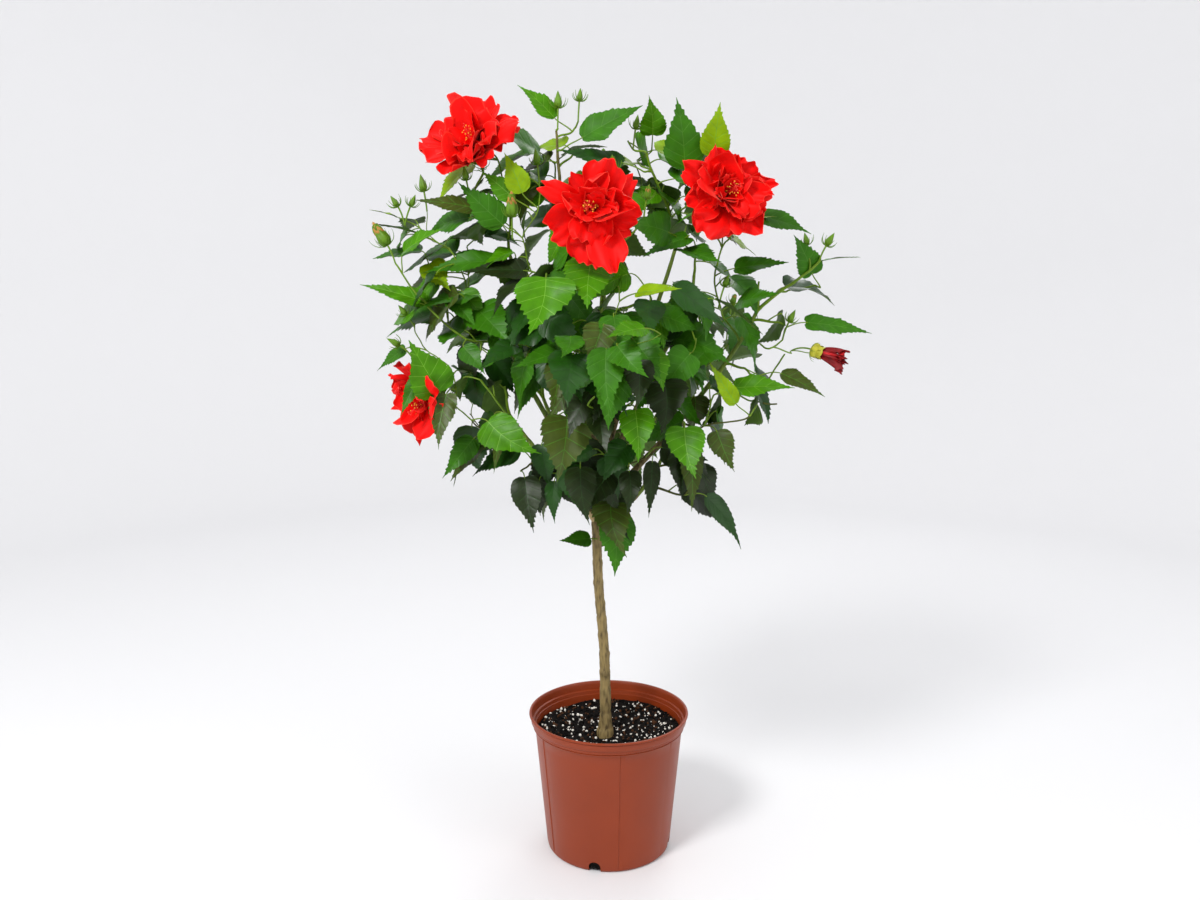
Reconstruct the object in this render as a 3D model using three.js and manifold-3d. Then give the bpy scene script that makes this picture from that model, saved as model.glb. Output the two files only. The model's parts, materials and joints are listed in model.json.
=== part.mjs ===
// A hibiscus grown as a small standard tree: one bare stem rises from a round nursery pot and forks
// into boughs that carry a loose, uneven globe of foliage. Each bough is one tapering limb that ends
// where it enters a mass of foliage, and each mass is one closed, uneven solid.
// Millimetres, +Z up, origin at the centre of the pot's flat underside, front of the plant towards -Y.

import * as THREE from 'three';
import { mergeVertices } from 'three/addons/utils/BufferGeometryUtils.js';
import Module from 'manifold-3d';

const wasm = await Module();
wasm.setup();

// ---------------------------------------------------------------- driving dimensions

const GAP = 0.4;                 // clearance kept between solids that touch

const POT_HEIGHT = 223.4;
const POT_BASE_RADIUS = 98.9;
const POT_NECK_RADIUS = 118.4;   // just under the rim band
const POT_RIM_RADIUS = 127;      // a ten-inch pot
const POT_WALL = 2.2;
const POT_FLOOR = 3.2;
const RIM_BAND = 15;
const POT_FOOT_ROUND = 5;
const POT_SIDES = 28;

const NOTCH_WIDTH = 18.6;        // drainage notches in the foot
const NOTCH_HEIGHT = 16.5;
const NOTCH_COUNT = 4;
const NOTCH_FIRST_DEG = -103;    // the first notch, just left of the front

const SOIL_LEVEL = 180;          // where the stem leaves the soil
const SOIL_EDGE_RISE = 15;       // the mix stands higher against the wall
const SOIL_FLAT_RADIUS = 30;
const SOIL_UNEVEN = 4;
const SOIL_CLEARANCE = 1;         // to the pot's wall, all the way round

const STEM_FOOT = new THREE.Vector3(-5, 0, SOIL_LEVEL);
const STEM_FORK = new THREE.Vector3(-20, 0, 560);
const STEM_RADIUS = 8.6;
const STEM_FORK_RADIUS = 7.2;
const STEM_FLARE = 4.6;          // added at the soil
const FLARE_HEIGHT = 26;
const STEM_SWAY = 3.5;
const STEM_KNOB = 0.8;           // swelling at the old leaf nodes
const KNOB_SPACING = 62;
const STEM_SIDES = 8;
const STEM_STEPS = 13;

const BOUGH_SIDES = 6;
const BOUGH_STEPS = 6;
const BOUGH_TIP_SHARE = 0.5;     // tip radius over root radius
const BOUGH_REACH_IN = 0.3;      // how far along its mass a bough is aimed

const LUMP_HEIGHT = 0.085;       // unevenness of a mass, as a share of its half size
const LUMP_WAVES = 5;
const MASS_GAP = 2.2;            // clearance between masses, measured out from each centre
const MASS_DETAIL = 2;           // icosahedron detail of a mass
const PAD_DETAIL = 1;            // and of a pad of a leaf or two
const PAD_SIZE = 45;              // half width under which a mass is a pad

// Masses of foliage, from the middle of the tree outwards. Each stretches from base to tip; wide is
// its half width across, level with the ground, and deep its half depth.
const MASSES = [
  { name: 'foliage_front', base: [-5, -100, 730], tip: [0, -275, 840], wide: 82, deep: 70 },
  { name: 'foliage_front_left', base: [-40, -30, 760], tip: [-140, -165, 905], wide: 74, deep: 66 },
  { name: 'foliage_front_right', base: [50, -30, 745], tip: [140, -165, 890], wide: 74, deep: 66 },
  { name: 'foliage_bloom_front', base: [0, -85, 880], tip: [-35, -195, 1068], wide: 74, deep: 60 },
  { name: 'foliage_bloom_right', base: [115, -30, 895], tip: [190, -125, 1092], wide: 70, deep: 62 },
  { name: 'foliage_bloom_left', base: [-125, 20, 950], tip: [-262, -25, 1168], wide: 66, deep: 64 },
  { name: 'foliage_top_left', base: [-50, 25, 960], tip: [-122, 0, 1197], wide: 54, deep: 60 },
  { name: 'foliage_top_middle', base: [10, 45, 960], tip: [38, -5, 1160], wide: 52, deep: 60 },
  { name: 'foliage_top_right', base: [105, 35, 960], tip: [142, 10, 1174], wide: 56, deep: 66 },
  { name: 'foliage_left_upper', base: [-125, 10, 890], tip: [-364, -10, 1000], wide: 62, deep: 56 },
  { name: 'foliage_left_tip', base: [-130, -20, 838], tip: [-390, -30, 880], wide: 66, deep: 42 },
  { name: 'foliage_left_low', base: [-110, -35, 790], tip: [-338, -60, 700], wide: 70, deep: 66 },
  { name: 'foliage_left_hanging', base: [-120, -40, 690], tip: [-258, -50, 606], wide: 42, deep: 30 },
  { name: 'foliage_right_upper', base: [180, -10, 880], tip: [384, -10, 952], wide: 58, deep: 52 },
  { name: 'foliage_right_tip', base: [165, 0, 800], tip: [412, -10, 822], wide: 62, deep: 44 },
  { name: 'foliage_right_low', base: [140, -20, 745], tip: [336, -25, 728], wide: 56, deep: 40 },
  { name: 'foliage_low_right', base: [80, -15, 735], tip: [152, -60, 578], wide: 68, deep: 66 },
  { name: 'foliage_low_left', base: [-70, -20, 720], tip: [-105, -65, 533], wide: 54, deep: 58 },
  { name: 'foliage_low_front', base: [0, -65, 690], tip: [-15, -105, 532], wide: 58, deep: 46 },
  { name: 'foliage_hanging_right', base: [138, -58, 598], tip: [200, -62, 488], wide: 26, deep: 20 },
  { name: 'foliage_hanging_low', base: [22, -38, 556], tip: [24, -58, 456], wide: 26, deep: 14 },
  { name: 'foliage_low_leaf', base: [-30, -14, 518], tip: [-76, -34, 500], wide: 20, deep: 9 },
  { name: 'foliage_back_left', base: [-70, 60, 745], tip: [-265, 200, 890], wide: 90, deep: 74 },
  { name: 'foliage_back_right', base: [70, 60, 745], tip: [255, 210, 890], wide: 90, deep: 74 },
  { name: 'foliage_back', base: [0, 95, 760], tip: [0, 300, 850], wide: 84, deep: 76 },
  { name: 'foliage_back_top', base: [0, 100, 900], tip: [-15, 200, 1112], wide: 84, deep: 60 },
  { name: 'foliage_back_low', base: [-5, 45, 690], tip: [15, 195, 575], wide: 76, deep: 52 },
];

// Main boughs. Each leaves the stem at height from, is aimed into the mass that it carries and is
// thick millimetres in radius at its root. With early near 1 it spreads before it climbs.
const BOUGHS = [
  { name: 'bough_leader', mass: 'foliage_top_left', from: 560, thick: 6.4, early: 0.1 },
  { name: 'bough_right', mass: 'foliage_low_right', from: 534, thick: 4.6, early: 0.95 },
  { name: 'bough_right_upper', mass: 'foliage_right_upper', from: 552, thick: 5.2, early: 0.55 },
  { name: 'bough_left', mass: 'foliage_left_upper', from: 548, thick: 5.0, early: 0.4 },
  { name: 'bough_left_low', mass: 'foliage_left_low', from: 540, thick: 4.4, early: 0.5 },
  { name: 'bough_front', mass: 'foliage_bloom_front', from: 556, thick: 4.8, early: 0.35 },
  { name: 'bough_front_right', mass: 'foliage_bloom_right', from: 558, thick: 4.6, early: 0.3 },
  { name: 'bough_top_right', mass: 'foliage_top_right', from: 560, thick: 5.0, early: 0.2 },
  { name: 'bough_bloom_left', mass: 'foliage_bloom_left', from: 558, thick: 4.8, early: 0.25 },
  { name: 'bough_front_left', mass: 'foliage_front_left', from: 552, thick: 4.4, early: 0.4 },
  { name: 'bough_back_top', mass: 'foliage_back_top', from: 558, thick: 4.8, early: 0.2 },
  { name: 'bough_back', mass: 'foliage_back', from: 550, thick: 4.8, early: 0.35 },
  { name: 'bough_back_left', mass: 'foliage_back_left', from: 544, thick: 4.6, early: 0.45 },
  { name: 'bough_back_right', mass: 'foliage_back_right', from: 546, thick: 4.6, early: 0.45 },
];

// ---------------------------------------------------------------- materials

const terracotta = new THREE.MeshStandardMaterial({ color: 0x9b462d, roughness: 0.45, metalness: 0 });
const pottingMix = new THREE.MeshStandardMaterial({ color: 0x2b211b, roughness: 0.95, metalness: 0 });
const bark = new THREE.MeshStandardMaterial({ color: 0x77603a, roughness: 0.8, metalness: 0 });
const foliage = new THREE.MeshStandardMaterial({ color: 0x2f6b25, roughness: 0.5, metalness: 0 });

// ---------------------------------------------------------------- solids and meshes

const plant = new THREE.Group();

function addMesh(name, geometry, material) {
  const mesh = new THREE.Mesh(geometry, material);
  mesh.name = name;
  plant.add(mesh);
}

// Joins a geometry's shared corners and drops the flat triangles that a pole leaves.
function weld(geometry) {
  const bare = geometry.clone();
  bare.deleteAttribute('normal');
  bare.deleteAttribute('uv');
  const merged = mergeVertices(bare, 1e-3);
  const corners = merged.index.array;
  const kept = [];
  for (let i = 0; i < corners.length; i += 3) {
    const [a, b, c] = [corners[i], corners[i + 1], corners[i + 2]];
    if (a !== b && b !== c && c !== a) kept.push(a, b, c);
  }
  merged.setIndex(kept);
  return merged;
}

function solidOf(geometry) {
  const welded = weld(geometry);
  const mesh = new wasm.Mesh({
    numProp: 3,
    vertProperties: Float32Array.from(welded.attributes.position.array),
    triVerts: Uint32Array.from(welded.index.array),
  });
  return new wasm.Manifold(mesh);
}

function geometryOf(solid) {
  const mesh = solid.getMesh();
  const geometry = new THREE.BufferGeometry();
  geometry.setAttribute('position', new THREE.BufferAttribute(mesh.vertProperties, 3));
  geometry.setIndex(new THREE.BufferAttribute(mesh.triVerts, 1));
  geometry.computeVertexNormals();
  return geometry;
}

// The largest body of a solid that cutting may have left in several.
function largestBody(solid) {
  const bodies = solid.decompose();
  return bodies.reduce((best, body) => (body.volume() > best.volume() ? body : best));
}

// Turns a profile of [radius, height] points about the Z axis.
function lathe(profile, sides) {
  const points = profile.map(([radius, height]) => new THREE.Vector2(radius, height));
  return new THREE.LatheGeometry(points, sides).rotateX(Math.PI / 2);
}

// Seeded random numbers from 0 to 1.
function randomFrom(seed) {
  let state = seed >>> 0;
  return () => {
    state = (state + 0x6d2b79f5) >>> 0;
    let mixed = Math.imul(state ^ (state >>> 15), 1 | state);
    mixed ^= mixed + Math.imul(mixed ^ (mixed >>> 7), 61 | mixed);
    return ((mixed ^ (mixed >>> 14)) >>> 0) / 4294967296;
  };
}

// ---------------------------------------------------------------- pot

function potWallRadius(height) {
  const neckHeight = POT_HEIGHT - RIM_BAND;
  return THREE.MathUtils.lerp(POT_BASE_RADIUS, POT_NECK_RADIUS, height / neckHeight);
}

function potShell() {
  const neck = POT_HEIGHT - RIM_BAND;
  const round = POT_FOOT_ROUND;
  return lathe([
    [0, 0],
    [POT_BASE_RADIUS - round, 0],
    [POT_BASE_RADIUS - 0.3 * round, 0.3 * round],
    [potWallRadius(round), round],
    [POT_NECK_RADIUS - 0.4, neck - 6],
    [POT_NECK_RADIUS + 1.6, neck - 4.5],
    [POT_NECK_RADIUS + 1.6, neck - 0.5],
    [POT_RIM_RADIUS - 0.6, neck],
    [POT_RIM_RADIUS, neck + 1],
    [POT_RIM_RADIUS, POT_HEIGHT - 1],
    [POT_RIM_RADIUS - 0.8, POT_HEIGHT],
    [POT_RIM_RADIUS - POT_WALL, POT_HEIGHT],
    [POT_RIM_RADIUS - POT_WALL, neck + POT_WALL + 1],
    [POT_NECK_RADIUS - POT_WALL, neck + POT_WALL],
    [potWallRadius(POT_FLOOR) - POT_WALL, POT_FLOOR],
    [0, POT_FLOOR],
  ], POT_SIDES);
}

// A round-topped plug lying along X, which cuts one drainage notch.
function notchPlug(angle) {
  const half = NOTCH_WIDTH / 2;
  const shoulder = NOTCH_HEIGHT - half;
  const outline = new THREE.Shape();
  outline.moveTo(-half, -1);
  outline.lineTo(half, -1);
  outline.lineTo(half, shoulder);
  outline.absarc(0, shoulder, half, 0, Math.PI, false);
  outline.closePath();
  const plug = new THREE.ExtrudeGeometry(outline, { depth: 30, bevelEnabled: false, curveSegments: 5 });
  plug.rotateX(Math.PI / 2);
  plug.rotateZ(Math.PI / 2);
  plug.translate(POT_BASE_RADIUS - 16, 0, 0);
  plug.rotateZ(angle);
  return plug;
}

function buildPot() {
  let pot = solidOf(potShell());
  for (let i = 0; i < NOTCH_COUNT; i += 1) {
    const angle = THREE.MathUtils.degToRad(NOTCH_FIRST_DEG + (360 / NOTCH_COUNT) * i);
    pot = pot.subtract(solidOf(notchPlug(angle)));
  }
  addMesh('pot', geometryOf(pot), terracotta);
}

// ---------------------------------------------------------------- soil

function buildSoil() {
  const floor = POT_FLOOR + GAP;
  const wallAt = (height) => potWallRadius(height) - POT_WALL - SOIL_CLEARANCE;
  const edge = SOIL_LEVEL + SOIL_EDGE_RISE;
  const top = SOIL_LEVEL - GAP;
  const soil = lathe([
    [0, floor],
    [wallAt(floor), floor],
    [wallAt(edge), edge],
    [wallAt(edge) - 24, edge - 0.35 * SOIL_EDGE_RISE],
    [SOIL_FLAT_RADIUS, top],
    [0, top],
  ], POT_SIDES);
  const place = soil.attributes.position;
  for (let i = 0; i < place.count; i += 1) {
    const radius = Math.hypot(place.getX(i), place.getY(i));
    if (place.getZ(i) > floor + 1 && radius > SOIL_FLAT_RADIUS + 1) {
      const wave = Math.sin(0.09 * place.getX(i) + 1) + Math.cos(0.07 * place.getY(i) - 0.05 * place.getX(i));
      place.setZ(i, place.getZ(i) + (SOIL_UNEVEN * wave) / 2);
    }
  }
  addMesh('soil', weld(soil), pottingMix);
}

// ---------------------------------------------------------------- stem and boughs

// A round limb along a curve: a cylinder's rings moved onto the curve, radiusAt(share) thick.
function limb(curve, radiusAt, sides, steps) {
  const geometry = new THREE.CylinderGeometry(1, 1, 1, sides, steps).rotateX(Math.PI / 2);
  const across = curve.getPoint(1).sub(curve.getPoint(0));
  const sideways = Math.abs(across.x) > Math.abs(across.y);
  const reference = sideways ? new THREE.Vector3(0, 1, 0) : new THREE.Vector3(1, 0, 0);
  const place = geometry.attributes.position;
  for (let i = 0; i < place.count; i += 1) {
    const share = THREE.MathUtils.clamp(place.getZ(i) + 0.5, 0, 1);
    const along = curve.getTangentAt(share);
    const second = new THREE.Vector3().crossVectors(along, reference).normalize();
    const first = new THREE.Vector3().crossVectors(second, along);
    const centre = curve.getPointAt(share);
    centre.addScaledVector(first, place.getX(i) * radiusAt(share));
    centre.addScaledVector(second, place.getY(i) * radiusAt(share));
    place.setXYZ(i, centre.x, centre.y, centre.z);
  }
  return geometry;
}

// The stem leans a little and sways once on its way up, with a flat cut at the soil.
function stemCurve() {
  const at = (share, sway) => new THREE.Vector3().lerpVectors(STEM_FOOT, STEM_FORK, share)
    .add(new THREE.Vector3(sway, 0.6 * sway, 0));
  return new THREE.CatmullRomCurve3([
    STEM_FOOT,
    STEM_FOOT.clone().add(new THREE.Vector3(0, 0, 6)),
    at(0.35, STEM_SWAY),
    at(0.7, -0.4 * STEM_SWAY),
    STEM_FORK,
  ]);
}

function stemRadius(share) {
  const height = share * (STEM_FORK.z - STEM_FOOT.z);
  const flare = STEM_FLARE * Math.exp((-3 * height) / FLARE_HEIGHT);
  const knob = STEM_KNOB * Math.max(0, Math.cos((2 * Math.PI * height) / KNOB_SPACING)) ** 4;
  return THREE.MathUtils.lerp(STEM_RADIUS, STEM_FORK_RADIUS, share) + flare + knob;
}

function stemSolid(clearance) {
  return solidOf(limb(stemCurve(), (share) => stemRadius(share) + clearance, STEM_SIDES, STEM_STEPS));
}

// A bough's curve, from the stem's middle at its height to a place inside its mass.
function boughCurve(bough) {
  const { base, tip } = MASSES.find((mass) => mass.name === bough.mass);
  const rise = (bough.from - STEM_FOOT.z) / (STEM_FORK.z - STEM_FOOT.z);
  const start = new THREE.Vector3().lerpVectors(STEM_FOOT, STEM_FORK, Math.min(rise, 0.99));
  const end = new THREE.Vector3(...base).lerp(new THREE.Vector3(...tip), BOUGH_REACH_IN);
  const span = end.clone().sub(start);
  const out = THREE.MathUtils.lerp(0.12, 0.6, bough.early);
  const up = THREE.MathUtils.lerp(0.5, 0.12, bough.early);
  const bend = start.clone().add(new THREE.Vector3(span.x * out, span.y * out, span.z * up));
  const rising = end.clone().sub(new THREE.Vector3(span.x * 0.12, span.y * 0.12, span.z * 0.3));
  return new THREE.CubicBezierCurve3(start, bend, rising, end);
}

function boughSolid(bough, clearance) {
  const thick = (share) => bough.thick * THREE.MathUtils.lerp(1, BOUGH_TIP_SHARE, share) + clearance;
  return solidOf(limb(boughCurve(bough), thick, BOUGH_SIDES, BOUGH_STEPS));
}

// ---------------------------------------------------------------- masses of foliage

// A few seeded waves over the sphere of directions, which make a mass uneven.
function lumps(seed) {
  const random = randomFrom(seed);
  const waves = Array.from({ length: LUMP_WAVES }, () => ({
    vector: new THREE.Vector3(random() - 0.5, random() - 0.5, random() - 0.5).setLength(2.5 + 3 * random()),
    phase: 2 * Math.PI * random(),
  }));
  return (direction) => 1 + waves.reduce(
    (sum, wave) => sum + LUMP_HEIGHT * Math.sin(wave.vector.dot(direction) + wave.phase), -LUMP_HEIGHT);
}

// A closed egg from base to tip, narrower towards the tip, with every corner moved out by clearance.
function massSolid(mass, clearance) {
  const base = new THREE.Vector3(...mass.base);
  const tip = new THREE.Vector3(...mass.tip);
  const along = tip.clone().sub(base);
  const half = along.length() / 2;
  along.normalize();
  const level = new THREE.Vector3(0, 0, 1).cross(along).normalize();
  const upright = along.clone().cross(level);
  const centre = base.clone().lerp(tip, 0.5);
  const uneven = lumps(1000 + MASSES.indexOf(mass));
  const detail = mass.wide < PAD_SIZE ? PAD_DETAIL : MASS_DETAIL;
  const geometry = new THREE.IcosahedronGeometry(1, detail);
  const place = geometry.attributes.position;
  const direction = new THREE.Vector3();
  for (let i = 0; i < place.count; i += 1) {
    direction.fromBufferAttribute(place, i).normalize();
    const narrow = 1 - 0.22 * direction.z;
    const spread = uneven(direction) * narrow;
    const point = level.clone().multiplyScalar(direction.x * mass.wide * spread);
    point.addScaledVector(upright, direction.y * mass.deep * spread);
    point.addScaledVector(along, direction.z * half);
    point.setLength(point.length() + clearance);
    point.add(centre);
    place.setXYZ(i, point.x, point.y, point.z);
  }
  return solidOf(geometry);
}

// ---------------------------------------------------------------- the crown

// Each limb gives way to those before it, each mass to the masses before it and to the limbs that
// pass it, and each bough ends at the face of the mass that it carries.
function buildPlant() {
  addMesh('trunk', geometryOf(stemSolid(0)), bark);
  const limbs = [];
  let taken = stemSolid(GAP);
  for (const bough of BOUGHS) {
    limbs.push({ bough, solid: largestBody(boughSolid(bough, 0).subtract(taken)) });
    taken = taken.add(boughSolid(bough, GAP));
  }
  let filled = stemSolid(GAP);
  const passing = (mass) => BOUGHS.filter((bough) => bough.mass !== mass.name);
  const masses = MASSES.map((mass) => {
    let solid = massSolid(mass, 0).subtract(filled);
    for (const bough of passing(mass)) solid = solid.subtract(boughSolid(bough, GAP));
    filled = filled.add(massSolid(mass, MASS_GAP));
    return { mass, solid: largestBody(solid) };
  });
  for (const { bough, solid } of limbs) {
    const carried = MASSES.find((mass) => mass.name === bough.mass);
    addMesh(bough.name, geometryOf(largestBody(solid.subtract(massSolid(carried, GAP)))), bark);
  }
  for (const { mass, solid } of masses) addMesh(mass.name, geometryOf(solid), foliage);
}

buildPot();
buildSoil();
buildPlant();

export default plant;
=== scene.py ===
import itertools
import json
import math

import bpy
import numpy as np
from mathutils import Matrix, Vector
from mathutils.bvhtree import BVHTree

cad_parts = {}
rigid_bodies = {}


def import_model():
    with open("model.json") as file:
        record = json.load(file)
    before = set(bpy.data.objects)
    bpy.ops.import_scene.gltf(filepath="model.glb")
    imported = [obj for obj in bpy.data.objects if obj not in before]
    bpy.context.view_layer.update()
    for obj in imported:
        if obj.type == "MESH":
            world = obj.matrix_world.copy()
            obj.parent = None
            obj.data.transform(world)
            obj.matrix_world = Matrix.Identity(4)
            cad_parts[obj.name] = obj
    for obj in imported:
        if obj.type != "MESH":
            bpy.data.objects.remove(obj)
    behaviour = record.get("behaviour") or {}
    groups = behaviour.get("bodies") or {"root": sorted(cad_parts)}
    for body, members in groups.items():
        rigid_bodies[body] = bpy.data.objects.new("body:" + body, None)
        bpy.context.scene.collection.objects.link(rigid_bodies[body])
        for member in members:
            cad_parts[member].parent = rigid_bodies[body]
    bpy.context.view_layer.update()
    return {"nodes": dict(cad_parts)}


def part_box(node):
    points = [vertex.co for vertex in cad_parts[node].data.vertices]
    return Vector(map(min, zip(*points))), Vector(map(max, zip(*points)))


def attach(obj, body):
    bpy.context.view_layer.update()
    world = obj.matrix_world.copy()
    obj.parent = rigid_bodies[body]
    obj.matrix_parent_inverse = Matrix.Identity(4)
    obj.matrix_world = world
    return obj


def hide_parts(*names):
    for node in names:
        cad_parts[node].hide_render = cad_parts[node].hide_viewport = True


# A hibiscus shrub trained as a small standard, in a ten-inch nursery pot.
# All sizes are in metres and all angles in degrees. +Z is up and -Y is the front.
for leftover in list(bpy.data.objects):
    bpy.data.objects.remove(leftover)
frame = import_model()

UP = np.array((0.0, 0.0, 1.0))
MASSES = sorted(name for name in frame["nodes"] if name.startswith("foliage_"))
BOUGHS = sorted(name for name in frame["nodes"] if name.startswith("bough_"))

# Pot and soil
POT_WALL = 0.0022
POT_FLOOR = 0.0032
POT_FOOT_ROUND = 0.005
POT_BASE_RADIUS = 0.0989
POT_NECK_RADIUS = 0.1184
RIM_BAND = 0.015
POT_SIDES = 192
MOULD_LINES = (-151, -82, -37, 8, 53, 98, 143)
MOULD_RELIEF = 0.0011
NOTCH_WIDTH = 0.0186
NOTCH_HEIGHT = 0.0172
NOTCH_COUNT = 4
NOTCH_FIRST = -103
SOIL_RINGS = 56
SOIL_SIDES = 160
SOIL_LEVEL = 0.180
SOIL_EDGE_RISE = 0.015
SOIL_FOOT = 0.0042
SOIL_SKIRT = (0.15, 0.10, 0.05, 0.02, 0.008, SOIL_FOOT)
GRAIN_COUNT = 1500
GRAIN_REACH = 0.111

# Wood
BOUGH_RINGS = 26
BOUGH_SIDES = 14
TRUNK_RINGS = 150
TRUNK_SIDES = 32
BOUGH_ROOT_DROP = 0.006
STUB_DROP = 0.028
STUB_HEADING = 215
STUB_BENDS = ((30, 0.008), (40, 0.014), (55, 0.021))
TWIG_STEP = 0.012
TWIG_ROOT_RADIUS = 0.0017
TWIG_TAPER = 0.0085
TWIG_TIP_RADIUS = 0.0014
TWIG_SIDES = 8
TWIG_OVERRUN = 0.006
TWIGS_PER_METRE = 30
BROWN_TWIG_RADIUS = 0.0034
GREEN_SHOOT_HEIGHT = 0.72
SHOOT_THICKNESS = 1.25

# Leaves
LEAF_TEETH = 12
TEETH_FROM = 0.14
TEETH_TO = 0.96
LEAF_COLUMNS = 8
LEAF_THICKNESS = 0.0004
VEIN_SHARE = 0.006
RIB_WIDTH = 0.0010
STALK_REACH = 0.032
STALK_LENGTHS = (0.018, 0.042)
LEAF_LENGTHS = (0.068, 0.097)
LEAF_BREADTHS = (0.56, 0.80)
LEAFY_REACH = 0.17
NODE_SPACING = 0.017
GOLDEN_ANGLE = 137.5
LEAF_SPACING = 0.021
LEAF_TRIES = 7
OUTSIDE_LIMIT = 0.015
SHOWN_RADIUS = 0.034
BLOOM_REACH = 0.078
MASS_GAP = 0.003
OLIVE_SHARE = 0.07

# Blooms
PETAL_ROWS = 18
PETAL_COLUMNS = 23
PETAL_THICKNESS = 0.0003
CALYX_LENGTH = 0.030
COLUMN_LENGTH = 0.046
ANTHER_COUNT = 30
SECOND_THROAT = 0.018

# The corner order of a quad's other side, which keeps the same diagonal.
BACK_OF_QUAD = [0, 3, 2, 1]
NO_FACES = np.empty((0, 3), int)

# The half outline of a leaf: share round it, half width, distance along it.
LEAF_OUTLINE = np.array((
    (0.00, 0.02, 0.000), (0.06, 0.36, -0.040), (0.14, 0.74, -0.015), (0.22, 0.95, 0.080),
    (0.32, 1.00, 0.200), (0.42, 0.97, 0.320), (0.51, 0.87, 0.430), (0.59, 0.70, 0.530),
    (0.67, 0.51, 0.630), (0.76, 0.32, 0.730), (0.85, 0.17, 0.830), (0.93, 0.07, 0.920),
    (1.00, 0.01, 1.000),
))

# The half width of a petal at shares along it.
PETAL_SHAPE = np.array((
    (0.0, 0.14), (0.12, 0.24), (0.30, 0.56), (0.50, 0.86), (0.66, 1.0), (0.80, 1.02), (0.91, 0.97),
    (0.97, 0.86), (1.0, 0.76),
))

# Which way a leaf's upper side faces.
FACES = {
    "up": (0.0, 0.0, 1.0),
    "tilt": (0.0, -0.7, 0.7),
    "front": (0.0, -1.0, 0.25),
}

# Screen colours of the leaves, and the gloss of those that differ from the rest. The deep and dark
# tints, also given to the low listed leaves, are partly older leaves' own deeper green and partly
# painted shade.
LEAF_TINTS = {
    "young": (124, 158, 8), "bright": (66, 123, 5), "mid": (50, 104, 9),
    "deep": (27, 68, 8), "dark": (30, 43, 13), "olive": (62, 76, 22),
}
LEAF_GLOSS = {"young": 0.13, "bright": 0.13, "mid": 0.16, "dark": 0.2, "olive": 0.2}

# A leaf takes the first tint whose level is above its light, a score partly of age and partly of
# painted light and shade.
TINT_LEVELS = ((0.17, "dark"), (0.46, "deep"), (0.82, "mid"), (1.16, "bright"), (math.inf, "young"))

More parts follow.
